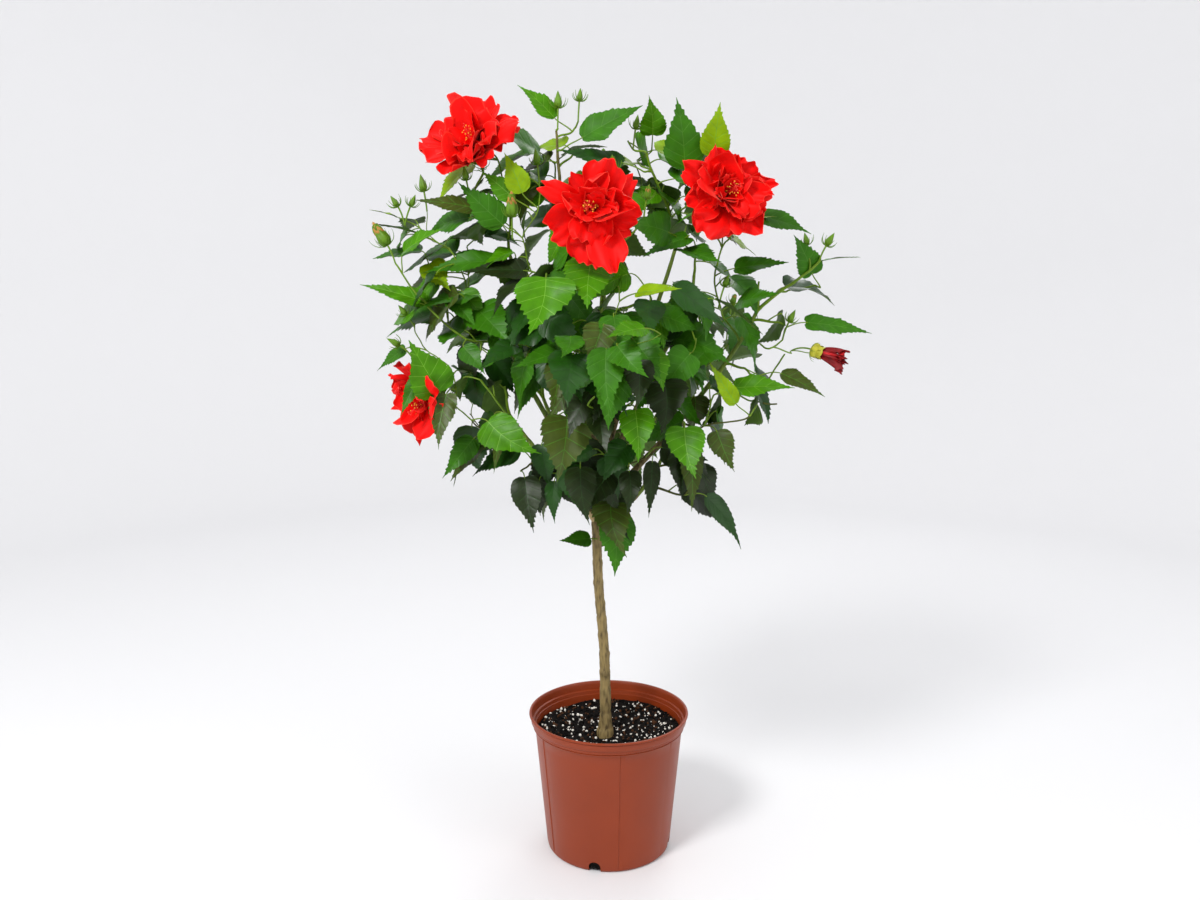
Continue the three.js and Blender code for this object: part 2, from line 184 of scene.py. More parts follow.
# Leaves that show singly: the mass they stand in, the place of the blade's foot in that mass's
# box (left to right, front to back, bottom to top), heading, pitch, length, width, tint, facing.
FEATURE_LEAVES = (
    ("front_left", (0.50, 0.00, 0.95), 270, -62, 0.082, 0.082, "bright", "front"),
    ("bloom_front", (0.43, 0.35, 0.25), 262, -45, 0.080, 0.068, "bright", "front"),
    ("front", (0.30, 0.35, 0.68), 255, -50, 0.078, 0.062, "deep", "front"),
    ("front", (0.24, 0.70, 0.14), 265, -66, 0.092, 0.072, "olive", "front"),
    ("front", (0.55, 0.30, 0.73), 262, -64, 0.093, 0.050, "mid", "front"),
    ("front", (0.78, 0.50, 0.22), 280, -58, 0.074, 0.048, "bright", "front"),
    ("front", (0.84, 0.28, 0.88), 225, -5, 0.070, 0.036, "bright", "tilt"),
    ("front", (0.50, 0.50, 0.20), 275, -50, 0.062, 0.038, "dark", "front"),
    ("front", (0.80, 0.40, 0.62), 275, -55, 0.070, 0.040, "dark", "front"),
    ("front_left", (0.60, 0.35, 0.35), 220, -15, 0.076, 0.038, "mid", "tilt"),
    ("front_left", (0.20, 0.45, 0.40), 225, -20, 0.074, 0.036, "deep", "tilt"),
    ("front_right", (0.60, 0.10, -0.22), 270, -60, 0.074, 0.054, "bright", "front"),
    ("front_right", (0.18, -0.10, 0.90), 318, 5, 0.068, 0.030, "young", "tilt"),
    ("front_right", (0.30, 0.15, 0.84), 265, -38, 0.068, 0.044, "deep", "front"),
    ("front_right", (0.50, 0.15, 0.95), 0, -37, 0.098, 0.038, "deep", "front"),
    ("front_right", (0.90, 0.50, 0.84), 0, -33, 0.082, 0.030, "olive", "up"),
    ("front_right", (0.43, 0.15, 0.17), 283, -56, 0.078, 0.060, "dark", "front"),
    ("low_right", (0.80, 0.00, 0.70), 300, -60, 0.064, 0.038, "olive", "front"),
    ("low_right", (0.45, 0.10, 0.50), 262, -66, 0.070, 0.046, "dark", "front"),
    ("right_low", (0.20, -0.20, 0.40), 208, 48, 0.075, 0.026, "young", "front"),
    ("right_low", (0.20, -0.05, 0.65), 342, 4, 0.086, 0.040, "bright", "tilt"),
    ("right_low", (0.60, 0.50, 0.85), 338, -25, 0.074, 0.032, "olive", "tilt"),
    ("right_tip", (0.53, 0.45, 0.78), 0, -8, 0.104, 0.034, "mid", "tilt"),
    ("right_upper", (0.60, 0.40, 0.48), 228, 52, 0.068, 0.040, "mid", "front"),
    ("right_upper", (0.66, 0.40, 0.65), 0, 10, 0.060, 0.020, "bright", "up"),
    ("right_upper", (0.02, 0.15, 0.55), 338, 6, 0.078, 0.038, "mid", "tilt"),
    ("right_upper", (0.03, 0.00, 0.10), 312, 12, 0.072, 0.048, "mid", "tilt"),
    ("bloom_right", (0.95, 0.70, 0.50), 335, -14, 0.080, 0.040, "mid", "tilt"),
    ("bloom_right", (0.05, 0.45, 0.38), 225, 10, 0.076, 0.050, "mid", "front"),
    ("top_right", (0.43, 0.08, 0.48), 255, 70, 0.099, 0.060, "mid", "front"),
    ("top_right", (0.78, 0.00, 0.56), 275, 62, 0.074, 0.044, "young", "front"),
    ("top_middle", (0.88, 0.30, 0.76), 270, 50, 0.058, 0.040, "bright", "front"),
    ("top_middle", (-0.18, 0.10, 0.72), 355, 27, 0.098, 0.052, "mid", "tilt"),
    ("top_middle", (0.43, 0.15, 0.55), 180, 10, 0.100, 0.036, "deep", "tilt"),
    ("top_left", (0.34, 0.50, 0.55), 222, 20, 0.086, 0.060, "mid", "tilt"),
    ("top_left", (0.52, 0.30, 0.74), 180, 45, 0.072, 0.034, "bright", "tilt"),
    ("bloom_left", (0.85, 0.12, 0.35), 185, 66, 0.062, 0.036, "young", "front"),
    ("bloom_left", (0.78, 0.12, 0.32), 180, 38, 0.060, 0.032, "bright", "front"),
    ("bloom_left", (0.70, 0.12, 0.15), 190, 38, 0.088, 0.046, "mid", "front"),
    ("bloom_left", (0.48, 0.20, 0.26), 180, 8, 0.092, 0.034, "olive", "tilt"),
    ("left_upper", (0.82, 0.20, 0.44), 180, -6, 0.112, 0.042, "mid", "tilt"),
    ("left_upper", (1.00, 0.00, 0.34), 184, 0, 0.095, 0.042, "dark", "tilt"),
    ("left_upper", (0.23, 0.50, 0.86), 180, 20, 0.048, 0.024, "young", "up"),
    ("left_upper", (0.35, 0.45, 0.70), 180, 16, 0.072, 0.028, "bright", "up"),
    ("left_tip", (0.46, 0.50, 0.66), 180, 16, 0.104, 0.034, "bright", "tilt"),
    ("left_low", (0.42, 0.00, 0.48), 222, 52, 0.086, 0.062, "bright", "front"),
    ("left_low", (0.46, 0.02, 0.46), 252, -60, 0.082, 0.038, "olive", "front"),
    ("left_low", (0.30, 0.00, 0.62), 225, -55, 0.060, 0.024, "mid", "front"),
    ("left_low", (0.71, 0.00, 0.20), 322, -40, 0.090, 0.060, "bright", "front"),
    ("left_low", (0.15, 0.70, 0.86), 180, -34, 0.056, 0.026, "mid", "tilt"),
    ("left_hanging", (0.42, 0.30, 0.72), 225, -45, 0.076, 0.036, "mid", "front"),
    ("left_hanging", (0.72, 0.30, 0.90), 250, -68, 0.070, 0.020, "olive", "front"),
    ("low_left", (0.12, 0.10, 0.45), 285, -60, 0.084, 0.046, "dark", "front"),
    ("low_left", (0.50, 0.10, 0.42), 255, -72, 0.062, 0.026, "deep", "front"),
    ("low_front", (0.12, 0.25, 0.66), 270, -66, 0.084, 0.046, "dark", "front"),
    ("low_front", (0.74, 0.30, 0.62), 282, -62, 0.064, 0.034, "dark", "front"),
    ("low_right", (0.10, 0.10, 0.42), 262, -74, 0.082, 0.026, "dark", "front"),
    ("low_right", (0.52, 0.05, 0.55), 278, -70, 0.092, 0.034, "olive", "front"),
    ("hanging_low", (0.35, 0.50, 1.00), 262, -84, 0.098, 0.056, "mid", "front"),
    ("hanging_right", (0.12, 0.50, 0.95), 0, -48, 0.098, 0.034, "deep", "tilt"),
    ("low_leaf", (1.00, 0.80, 0.45), 205, 0, 0.050, 0.030, "mid", "tilt"),
)

# Open blooms: mass, place of the throat in its box, heading and pitch of the face, how far the
# petals lean back at the tip, how many petaloids fill the middle, and where the second throat is.
BLOOMS = (
    ("bloom_left", (0.49, 0.30, 0.58), 248, 45, 82, 10, 290),
    ("bloom_front", (0.46, 0.32, 0.60), 272, 2, 82, 11, 262),
    ("bloom_right", (0.54, 0.40, 0.61), 280, 8, 84, 11, 190),
    ("left_low", (0.38, 0.38, 0.46), 214, -22, 66, 10, 90),
)

# The outer petals of each bloom: clock angle as the face is looked at, length and width.
OUTER_PETALS = {
    "bloom_left": (
        (183, 0.088, 0.056), (150, 0.080, 0.054), (112, 0.074, 0.054), (80, 0.088, 0.046),
        (40, 0.082, 0.056), (8, 0.092, 0.052), (334, 0.064, 0.050), (290, 0.064, 0.054),
        (250, 0.072, 0.054), (215, 0.078, 0.056)),
    "bloom_front": (
        (72, 0.078, 0.058), (40, 0.070, 0.058), (350, 0.070, 0.046), (318, 0.064, 0.046),
        (286, 0.100, 0.054), (262, 0.082, 0.060), (215, 0.078, 0.062), (158, 0.086, 0.030),
        (124, 0.058, 0.034)),
    "bloom_right": (
        (8, 0.078, 0.040), (46, 0.064, 0.056), (82, 0.060, 0.050), (104, 0.072, 0.046),
        (152, 0.084, 0.036), (200, 0.066, 0.054), (238, 0.078, 0.058), (272, 0.062, 0.064),
        (308, 0.078, 0.060), (340, 0.066, 0.056)),
    "left_low": (
        (80, 0.078, 0.052), (30, 0.070, 0.052), (335, 0.072, 0.054), (285, 0.080, 0.052),
        (240, 0.072, 0.050), (185, 0.074, 0.052), (130, 0.074, 0.050)),
}

# Buds: mass, place of the base in its box, heading, pitch, length, opening from 0 to 1.
BUDS = (
    ("top_left", (0.56, 0.25, 0.80), 90, 84, 0.024, 0.0),
    ("top_left", (0.80, 0.25, 0.84), 60, 80, 0.018, 0.0),
    ("top_middle", (0.62, 0.25, 0.80), 20, 80, 0.020, 0.0),
    ("top_middle", (0.30, 0.10, 0.50), 200, 80, 0.022, 0.1),
    ("top_left", (0.33, 0.10, 0.46), 200, 82, 0.022, 0.0),
    ("bloom_left", (0.04, 0.40, 0.38), 160, 78, 0.024, 0.0),
    ("left_upper", (0.22, 0.45, 0.98), 170, 55, 0.018, 0.0),
    ("left_upper", (0.30, 0.45, 0.98), 20, 65, 0.018, 0.0),
    ("left_upper", (0.16, 0.35, 0.60), 165, 56, 0.040, 0.4),
    ("bloom_left", (0.40, 0.25, 0.44), 200, 80, 0.020, 0.0),
    ("front_left", (0.18, 0.50, 1.45), 270, 84, 0.036, 0.25),
    ("left_tip", (0.34, 0.50, 0.45), 165, 50, 0.018, 0.0),
    ("left_low", (0.12, 0.60, 0.90), 190, 30, 0.020, 0.0),
    ("bloom_front", (0.95, 0.60, 0.70), 300, 70, 0.020, 0.1),
    ("right_upper", (0.69, 0.35, 0.86), 20, 55, 0.022, 0.0),
    ("right_upper", (0.55, 0.35, 0.87), 150, 75, 0.018, 0.0),
    ("right_tip", (0.42, 0.40, 0.80), 20, 60, 0.020, 0.0),
    ("front_right", (0.98, 0.60, 0.96), 30, 65, 0.018, 0.0),
    ("back_top", (0.50, 0.60, 0.92), 90, 70, 0.022, 0.1),
    ("back_left", (0.25, 0.75, 0.80), 130, 50, 0.020, 0.0),
    ("back_right", (0.75, 0.75, 0.80), 60, 50, 0.022, 0.2),
)

# The spent bloom: mass, place of the base in its box, heading, pitch, length.
SPENT_BLOOM = ("right_tip", (0.55, 0.30, 0.34), 335, -18, 0.050)

# Straight green shoots that show between the leaves: each a chain of places in masses' boxes.
SHOOTS = (
    (("right_tip", (0.15, 0.37, 0.02)), ("right_tip", (0.35, 0.37, 0.79)),
     ("right_upper", (0.66, 0.32, 0.70))),
    (("left_low", (0.81, 0.39, 0.23)), ("left_low", (0.56, 0.48, 0.96)),
     ("left_tip", (0.46, 0.43, 0.67))),
    (("top_left", (0.72, 0.30, 0.02)), ("top_left", (0.54, 0.20, 0.66))),
    (("front_right", (0.24, 0.45, 0.84)), ("top_middle", (0.78, 0.15, 0.62))),
)

# Masses of one or two leaves, which are all placed one by one.
SINGLE_LEAVES = ("foliage_hanging_right", "foliage_hanging_low", "foliage_low_leaf")


def seeded(word):
    """A random source that belongs to a word, so that each group draws the same each run."""
    return np.random.default_rng([ord(letter) for letter in word])


def unit(vector):
    vector = np.asarray(vector, float)
    return vector / max(np.linalg.norm(vector), 1e-12)


def towards(heading, pitch):
    """The direction with a compass heading, 0 to the right and 90 to the back, and a pitch."""
    heading, pitch = math.radians(heading), math.radians(pitch)
    return np.array((
        math.cos(heading) * math.cos(pitch), math.sin(heading) * math.cos(pitch), math.sin(pitch)))


def square_to(axis, hint=(0.2, 0.9, 0.1)):
    """Two directions square to an axis and to each other."""
    side = unit(np.cross(axis, hint))
    return side, np.cross(axis, side)


def clock_direction(axis, clock):
    """The direction square to an axis at a clock angle, as seen from its front: 90 is up."""
    upward = unit(UP - axis * axis.dot(UP))
    turn = math.radians(clock)
    return np.cross(upward, axis) * math.cos(turn) + upward * math.sin(turn)


def spot(mass, shares):
    """A place in a foliage mass's box, by its shares of the way along each side."""
    low, high = (np.array(corner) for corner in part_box("foliage_" + mass))
    return low + (high - low) * np.array(shares)


# ---------------------------------------------------------------- meshes

def placed(name, data):
    """A new object in the scene."""
    made = bpy.data.objects.new(name, data)
    bpy.context.scene.collection.objects.link(made)
    return made


class Pile:
    """Gathers the points and faces of many small shapes that make one piece."""

    def __init__(self):
        self.points, self.faces, self.kinds, self.count = [], [], [], 0

    def add(self, points, faces, kinds):
        """Adds a shape. faces is an array of faces, and kinds a number or one for each face."""
        self.points.append(np.asarray(points, float).reshape(-1, 3))
        self.faces.append(np.asarray(faces) + self.count)
        self.kinds.append(np.broadcast_to(kinds, len(faces)))
        self.count += len(self.points[-1])

    def cap(self, ring, centre, kind=0, inward=False):
        """Closes a ring, given by the numbers of its points, with a fan round a new centre."""
        hub = np.full(len(ring), self.count)
        beside = np.roll(ring, -1)
        self.add([centre], NO_FACES, kind)
        self.faces.append(np.stack((hub, beside, ring) if inward else (hub, ring, beside), 1))
        self.kinds.append(np.full(len(ring), kind))

    def made(self, name, materials=()):
        """Makes a smooth mesh object of the gathered shapes."""
        mesh = bpy.data.meshes.new(name)
        faces = [face for batch in self.faces for face in batch.tolist()]
        mesh.from_pydata(np.concatenate(self.points).tolist(), [], faces)
        for material in materials:
            mesh.materials.append(material)
        mesh.polygons.foreach_set("material_index", np.concatenate(self.kinds).astype(np.int32))
        mesh.polygons.foreach_set("use_smooth", np.ones(len(faces), bool))
        mesh.update()
        return placed(name, mesh)

    def piece(self, name, materials, slot, nodes=()):
        """Makes the piece, which rides on the plant and stands for the nodes."""
        made = self.made(name, materials)
        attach(made, "root")
        if nodes:
            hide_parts(*nodes)
        return made


def grid_faces(rows, columns, closed=False):
    """The quads of a grid of points. A closed grid joins its last column to its first."""
    across = columns if closed else columns - 1
    row, column = np.meshgrid(np.arange(rows - 1), np.arange(across), indexing="ij")
    row, column = row.ravel(), column.ravel()
    beside = (column + 1) % columns
    return np.stack((
        row * columns + column, row * columns + beside,
        (row + 1) * columns + beside, (row + 1) * columns + column), axis=1)


def directions(path):
    steps = np.gradient(path, axis=0)
    return steps / np.maximum(np.linalg.norm(steps, axis=1, keepdims=True), 1e-12)


def tube(pile, path, radii, sides, kind=0, relief=None):
    """Adds a closed tube. kind is a number or one for each step; relief scales the radius by point."""
    path = np.asarray(path, float)
    along = directions(path)
    side = unit(np.cross(along[0], (0.31, 0.93, 0.2)))
    angles = np.arange(sides) * 2 * math.pi / sides
    rings = []
    for heading, radius in zip(along, radii):
        side = unit(side - heading * side.dot(heading))
        ring = np.outer(np.cos(angles), side) + np.outer(np.sin(angles), np.cross(heading, side))
        rings.append(ring * radius)
    offsets = np.array(rings)
    if relief is not None:
        offsets = offsets * relief[:, :, None]
    points = path[:, None, :] + offsets
    kinds = np.broadcast_to(kind, len(path) - 1)
    pile.add(points, grid_faces(len(path), sides, True), np.repeat(kinds, sides))
    for end, inward in ((0, True), (-1, False)):
        ring = np.arange(sides) + pile.count
        pile.add(points[end], NO_FACES, 0)
        pile.cap(ring, path[end], kinds[0], inward)


def curve(start, leave, arrive, end, count):
    """A cubic curve by its two ends and the two points that bend it."""
    share = np.linspace(0, 1, count)[:, None]
    rest = 1 - share
    return (rest ** 3 * start + 3 * rest ** 2 * share * leave
            + 3 * rest * share ** 2 * arrive + share ** 3 * end)


def resample(path, values, count):
    """A path and a value along it, drawn smoothly through evenly spaced points."""
    length = np.concatenate(([0], np.cumsum(np.linalg.norm(np.diff(path, axis=0), axis=1))))
    even = np.linspace(0, length[-1], count)
    slope = np.gradient(path, length, axis=0)
    at = np.clip(np.searchsorted(length, even, "right") - 1, 0, len(path) - 2)
    gap = (length[at + 1] - length[at])[:, None]
    share = (even - length[at])[:, None] / gap
    smooth = ((2 * share ** 3 - 3 * share ** 2 + 1) * path[at] + (share ** 3 - 2 * share ** 2 + share)
              * gap * slope[at] + (3 * share ** 2 - 2 * share ** 3) * path[at + 1]
              + (share ** 3 - share ** 2) * gap * slope[at + 1])
    return smooth, np.interp(even, length, values)


# ---------------------------------------------------------------- the frame

def node_arrays(name):
    mesh = frame["nodes"][name].data
    points = np.empty(len(mesh.vertices) * 3)
    mesh.vertices.foreach_get("co", points)
    edges = np.empty(len(mesh.edges) * 2, int)
    mesh.edges.foreach_get("vertices", edges)
    return points.reshape(-1, 3), edges.reshape(-1, 2)


def centre_line(name, levels):
    """The middle of a slender node, and its radius, cut at even levels along it."""
    points, edges = node_arrays(name)
    axis = unit(points[points[:, 2].argmax()] - points[points[:, 2].argmin()])
    along = points @ axis
    inset = (along.max() - along.min()) * 0.015
    centres, radii = [], []
    for level in np.linspace(along.min() + inset, along.max() - inset, levels):
        first, second = along[edges[:, 0]] - level, along[edges[:, 1]] - level
        crossing = first * second < 0
        share = (first / (first - second + 1e-15))[crossing][:, None]
        cut = points[edges[crossing, 0]] * (1 - share) + points[edges[crossing, 1]] * share
        middle = (cut.min(axis=0) + cut.max(axis=0)) / 2
        spread = cut - middle
        spread = spread - np.outer(spread @ axis, axis)
        centres.append(middle)
        radii.append(np.percentile(np.linalg.norm(spread, axis=1), 60))
    return np.array(centres), np.array(radii)


def crown_surface():
    """A search tree over the outside of all the foliage masses."""
    points, faces = [], []
    for name in MASSES:
        mesh = frame["nodes"][name].data
        start = len(points)
        points += [vertex.co[:] for vertex in mesh.vertices]
        faces += [[corner + start for corner in face.vertices] for face in mesh.polygons]
    return BVHTree.FromPolygons(points, faces)


CROWN_SURFACE = crown_surface()


def outside(place):
    """How far a place is outside all the foliage masses; less than 0 is inside one."""
    nearest, normal, _, distance = CROWN_SURFACE.find_nearest(Vector(place))
    return math.copysign(distance, (Vector(place) - nearest).dot(normal))


# ---------------------------------------------------------------- materials

def linear(red, green, blue):
    """A colour from its screen values, 0 to 255."""
    shares = (np.array((red, green, blue)) / 255).tolist()
    return [s / 12.92 if s <= 0.04045 else ((s + 0.055) / 1.055) ** 2.4 for s in shares] + [1.0]


def shader_of(name, colour, roughness, **sockets):
    material = bpy.data.materials.new(name)
    material.use_nodes = True
    shader = material.node_tree.nodes["Principled BSDF"]
    shader.inputs["Base Color"].default_value = colour
    shader.inputs["Roughness"].default_value = roughness
    for socket, value in sockets.items():
        shader.inputs[socket.replace("_", " ")].default_value = value
    return material, material.node_tree, shader


def noise_node(tree, scale, detail=3.0, stretch=(1, 1, 1)):
    """A noise in the object's own space, drawn out along an axis by stretch."""
    place = tree.nodes.new("ShaderNodeTexCoord")
    mapping = tree.nodes.new("ShaderNodeMapping")
    mapping.inputs["Scale"].default_value = stretch
    noise = tree.nodes.new("ShaderNodeTexNoise")
    noise.inputs["Scale"].default_value = scale
    noise.inputs["Detail"].default_value = detail
    tree.links.new(place.outputs["Object"], mapping.inputs["Vector"])
    tree.links.new(mapping.outputs["Vector"], noise.inputs["Vector"])
    return noise.outputs["Fac"]


def ramp_node(tree, factor, stops):
    ramp = tree.nodes.new("ShaderNodeValToRGB")
    while len(ramp.color_ramp.elements) < len(stops):
        ramp.color_ramp.elements.new(0.5)
    for element, (place, colour) in zip(ramp.color_ramp.elements, stops):
        element.position = place
        element.color = colour
    tree.links.new(factor, ramp.inputs["Fac"])
    return ramp.outputs["Color"]


def roughness_from(tree, shader, factor, low, high):
    spread = tree.nodes.new("ShaderNodeMapRange")
    spread.inputs["To Min"].default_value = low
    spread.inputs["To Max"].default_value = high
    tree.links.new(factor, spread.inputs["Value"])
    tree.links.new(spread.outputs["Result"], shader.inputs["Roughness"])


def bump_from(tree, shader, factor, strength, distance):
    bump = tree.nodes.new("ShaderNodeBump")
    bump.inputs["Strength"].default_value = strength
    bump.inputs["Distance"].default_value = distance
    tree.links.new(factor, bump.inputs["Height"])
    tree.links.new(bump.outputs["Normal"], shader.inputs["Normal"])


def shade(colour, factor):
    return [channel * factor for channel in colour[:3]] + [1.0]


def living(name, colour, roughness=0.34, contrast=0.16, scale=60.0, gloss=0.26):
    """A plant surface: a base colour that varies a little, faint relief and uneven gloss."""
    material, tree, shader = shader_of(name, colour, roughness, Specular_IOR_Level=gloss)
    patches = noise_node(tree, scale)
    stops = ((0.3, shade(colour, 1 - contrast)), (0.7, shade(colour, 1 + contrast)))
    tree.links.new(ramp_node(tree, patches, stops), shader.inputs["Base Color"])
    roughness_from(tree, shader, noise_node(tree, scale * 3), roughness - 0.06, roughness + 0.1)
    bump_from(tree, shader, noise_node(tree, scale * 9, 2.0), 0.12, 0.0004)
    return material


def leaf_materials():
    tints = {
        name: living("leaf_" + name, linear(*tint), 0.36, gloss=LEAF_GLOSS.get(name, 0.26))
        for name, tint in LEAF_TINTS.items()}
    tints["under"] = living("leaf_underside", linear(80, 110, 40), 0.5)
    tints["vein_light"] = living("leaf_vein_light", linear(100, 152, 36), 0.42)
    tints["vein_middle"] = living("leaf_vein_middle", linear(66, 118, 26), 0.42)
    # The dark veins, like the deep and dark leaves they lie on, are partly painted shade.
    tints["vein_dark"] = living("leaf_vein_dark", linear(28, 60, 15), 0.42)
    return tints


def petal_materials():
    """The skins of the petals; those of the open blooms have a faint pale sheen."""
    fresh = [living("petal_scarlet", linear(232, 6, 3), 0.55, 0.14, 70.0, 0.15),
             living("petal_throat", linear(140, 0, 5), 0.5, 0.12, 90.0, 0.15),
             # A paler strip round each petal's free edge: a painted highlight.
             living("petal_rim_painted_highlight", linear(243, 50, 36), 0.5, 0.06, 90.0, 0.15)]
    for skin in fresh:
        shader = skin.node_tree.nodes["Principled BSDF"]
        shader.inputs["Sheen Weight"].default_value = 0.3
        shader.inputs["Sheen Roughness"].default_value = 0.35
        shader.inputs["Sheen Tint"].default_value = linear(255, 150, 130)
    # The spent petals have two reds: the darker is their withered colour, the paler partly their
    # uneven colour and partly a painted highlight on the crumpled petals.
    return fresh + [living("bud_petal", linear(168, 122, 60), 0.5, 0.12, 160.0, 0.15),
                    living("petal_spent", linear(122, 4, 10), 0.5, 0.25, 160.0),
                    living("petal_spent_pale_and_painted_highlight", linear(190, 24, 30), 0.5, 0.2, 160.0)]


def bark_material(name, dark, light, streak):
    """Bark: light and dark patches drawn out along the stem, with fine relief."""
    material, tree, shader = shader_of(name, light, 0.72)
    drawn_out = noise_node(tree, 260.0, 6.0, (1, 1, streak))
    stops = ((0.32, dark), (0.5, shade(light, 0.8)), (0.7, light))
    tree.links.new(ramp_node(tree, drawn_out, stops), shader.inputs["Base Color"])
    roughness_from(tree, shader, noise_node(tree, 90.0), 0.62, 0.85)
    bump_from(tree, shader, noise_node(tree, 520.0, 4.0, (1, 1, streak)), 0.5, 0.0008)
    return material


def pot_material():
    """Blow-moulded terracotta plastic: satin, with faint scuffs and dust."""
    colour = linear(134, 50, 14)
    material, tree, shader = shader_of("pot_plastic", colour, 0.38, Specular_IOR_Level=0.35)
    cloud = noise_node(tree, 9.0, 4.0)
    stops = ((0.3, shade(colour, 0.93)), (0.7, shade(colour, 1.06)))
    tree.links.new(ramp_node(tree, cloud, stops), shader.inputs["Base Color"])
    roughness_from(tree, shader, noise_node(tree, 38.0, 5.0, (1, 1, 0.3)), 0.3, 0.48)
    bump_from(tree, shader, noise_node(tree, 900.0, 2.0), 0.08, 0.0003)
    return material


def soil_material():
    colour = linear(14, 11, 9)
    material, tree, shader = shader_of("potting_mix", colour, 0.95, Specular_IOR_Level=0.15)
    crumbs = noise_node(tree, 260.0, 5.0)
    stops = ((0.35, linear(5, 4, 4)), (0.6, linear(16, 12, 10)), (0.8, linear(40, 30, 22)))
    tree.links.new(ramp_node(tree, crumbs, stops), shader.inputs["Base Color"])
    bump_from(tree, shader, crumbs, 0.9, 0.003)
    return material


# ---------------------------------------------------------------- pot and soil

def rim_profile(rim, band, top):
    """Radius and height up the outside of the rim band and over the lip."""
    collar = ((0.0001, -0.0078), (0.0024, -0.0070), (0.0026, -0.0062), (0.0014, -0.0056),
              (0.0026, -0.0048), (0.0034, -0.0006), (0.0034, 0.0002))
    wall = ((-0.0036, 0.0008), (-0.0030, 0.0018))
    lip = ((-0.0024, -0.0046), (-0.0032, -0.0040), (-0.0012, -0.0034), (0.0, -0.0021),
           (-0.0004, -0.0006), (-0.0015, 0.0), (-0.0034, -0.0002), (-0.0042, -0.0012))
    return ([(POT_NECK_RADIUS + out, band + up) for out, up in collar]
            + [(rim + out, band + up) for out, up in wall]
            + [(rim + out, top + up) for out, up in lip])


def pot_profile():
    """Radius and height round the pot's section, and which of its points are on the outer wall."""
    rim, _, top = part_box("pot")[1]
    band = top - RIM_BAND
    arc = [math.radians(angle) for angle in (-90, -68, -45, -22, 0)]
    foot = [(POT_BASE_RADIUS - POT_FOOT_ROUND * (1 - math.cos(a)), POT_FOOT_ROUND * (1 + math.sin(a)))
            for a in arc]
    wall = [(POT_BASE_RADIUS + (POT_NECK_RADIUS - POT_BASE_RADIUS) * s, band * s)
            for s in (0.05, 0.15, 0.3, 0.45, 0.6, 0.75, 0.88, 0.955)]
    inner_neck = POT_NECK_RADIUS - POT_WALL
    inner_base = POT_BASE_RADIUS - POT_WALL
    inner = [(rim - 0.0050, top - 0.005), (rim - 0.0062, band + 0.0012), (inner_neck + 0.0022, band),
             (inner_neck + 0.0012, band - 0.0055), (inner_neck, band - 0.0062)]
    inner += [(inner_base + (inner_neck - inner_base) * s, band * s) for s in (0.8, 0.5, 0.25, 0.04)]
    inner += [(inner_base - 0.004, POT_FLOOR)]
    profile = np.array(foot + wall + rim_profile(rim, band, top) + inner)
    number = np.arange(len(profile))
    return profile, (number >= len(foot)) & (number < len(foot) + len(wall))


def notch_cutters():
    """Arched cutters for the drain notches round the foot."""
    cutters = Pile()
    arch = [(-0.5, -0.3), (0.5, -0.3), (0.5, 0.5)]
    arch += [(0.5 * math.cos(a), 0.5 + 0.5 * math.sin(a)) for a in np.linspace(0.3, math.pi - 0.3, 7)]
    arch += [(-0.5, 0.5)]
    count = len(arch)
    for number in range(NOTCH_COUNT):
        out = towards(NOTCH_FIRST + 360 / NOTCH_COUNT * number, 0)
        aside = np.cross(UP, out)
        rings = [[out * reach + aside * x * NOTCH_WIDTH + UP * z * NOTCH_HEIGHT for x, z in arch]
                 for reach in (POT_BASE_RADIUS - 0.014, POT_BASE_RADIUS + 0.01)]
        inner_ring = np.arange(count) + cutters.count
        cutters.add(rings, grid_faces(2, count, True), 0)
        cutters.cap(inner_ring, np.mean(rings[0], axis=0), inward=True)
        cutters.cap(inner_ring + count, np.mean(rings[1], axis=0))
    return cutters.made("notches")


def mould_angles():
    """Angles round the pot, two of them close together at each mould line, and the step there."""
    lines = np.radians(MOULD_LINES)
    turn, gap = 2 * math.pi, 0.008
    even = np.arange(POT_SIDES) * turn / POT_SIDES
    angles = np.sort(np.concatenate((even, lines % turn, (lines + gap) % turn)))
    past = (angles[:, None] - lines[None, :] - gap / 2) % turn
    return angles, np.exp(-past / 0.12).max(axis=1)


def make_pot():
    """The pot turned from its profile, with the drain notches cut out of its foot."""
    profile, on_wall = pot_profile()
    angles, step = mould_angles()
    radius = profile[:, 0][:, None] - np.outer(on_wall, step) * MOULD_RELIEF
    height = np.broadcast_to(profile[:, 1][:, None], radius.shape)
    rows, sides = radius.shape
    pile = Pile()
    pile.add(np.stack((radius * np.cos(angles), radius * np.sin(angles), height), axis=2),
             grid_faces(rows, sides, True), 0)
    pile.cap(np.arange(sides), (0, 0, 0), inward=True)
    pile.cap(np.arange(sides) + (rows - 1) * sides, (0, 0, POT_FLOOR))
    pot = pile.piece("nursery_pot", [pot_material()], "pot", ["pot"])
    cutters = notch_cutters()
    notching = pot.modifiers.new("notches", "BOOLEAN")
    notching.operation, notching.object, notching.solver = "DIFFERENCE", cutters, "EXACT"
    graph = bpy.context.evaluated_depsgraph_get()
    shaped = bpy.data.meshes.new_from_object(pot.evaluated_get(graph))
    pot.modifiers.clear()
    pot.data = shaped
    bpy.data.objects.remove(cutters)
    shaped.polygons.foreach_set("use_smooth", np.ones(len(shaped.polygons), bool))
    shaped.set_sharp_from_angle(angle=math.radians(40))


def soil_height(x, y, waves):
    """The height of the potting mix: dished round the stem, rising to the wall, and uneven."""
    reach = np.hypot(x, y)
    share = np.clip((reach - 0.03) / 0.084, 0, 1)
    height = SOIL_LEVEL + SOIL_EDGE_RISE * share ** 2 * (3 - 2 * share) * 0.86
    height = height + 0.006 * np.exp(-((x - 0.045) ** 2 + (y - 0.055) ** 2) / 0.0016)
    for wave_x, wave_y, phase, size in waves:
        height = height + size * np.sin(x * wave_x + y * wave_y + phase)
    return height


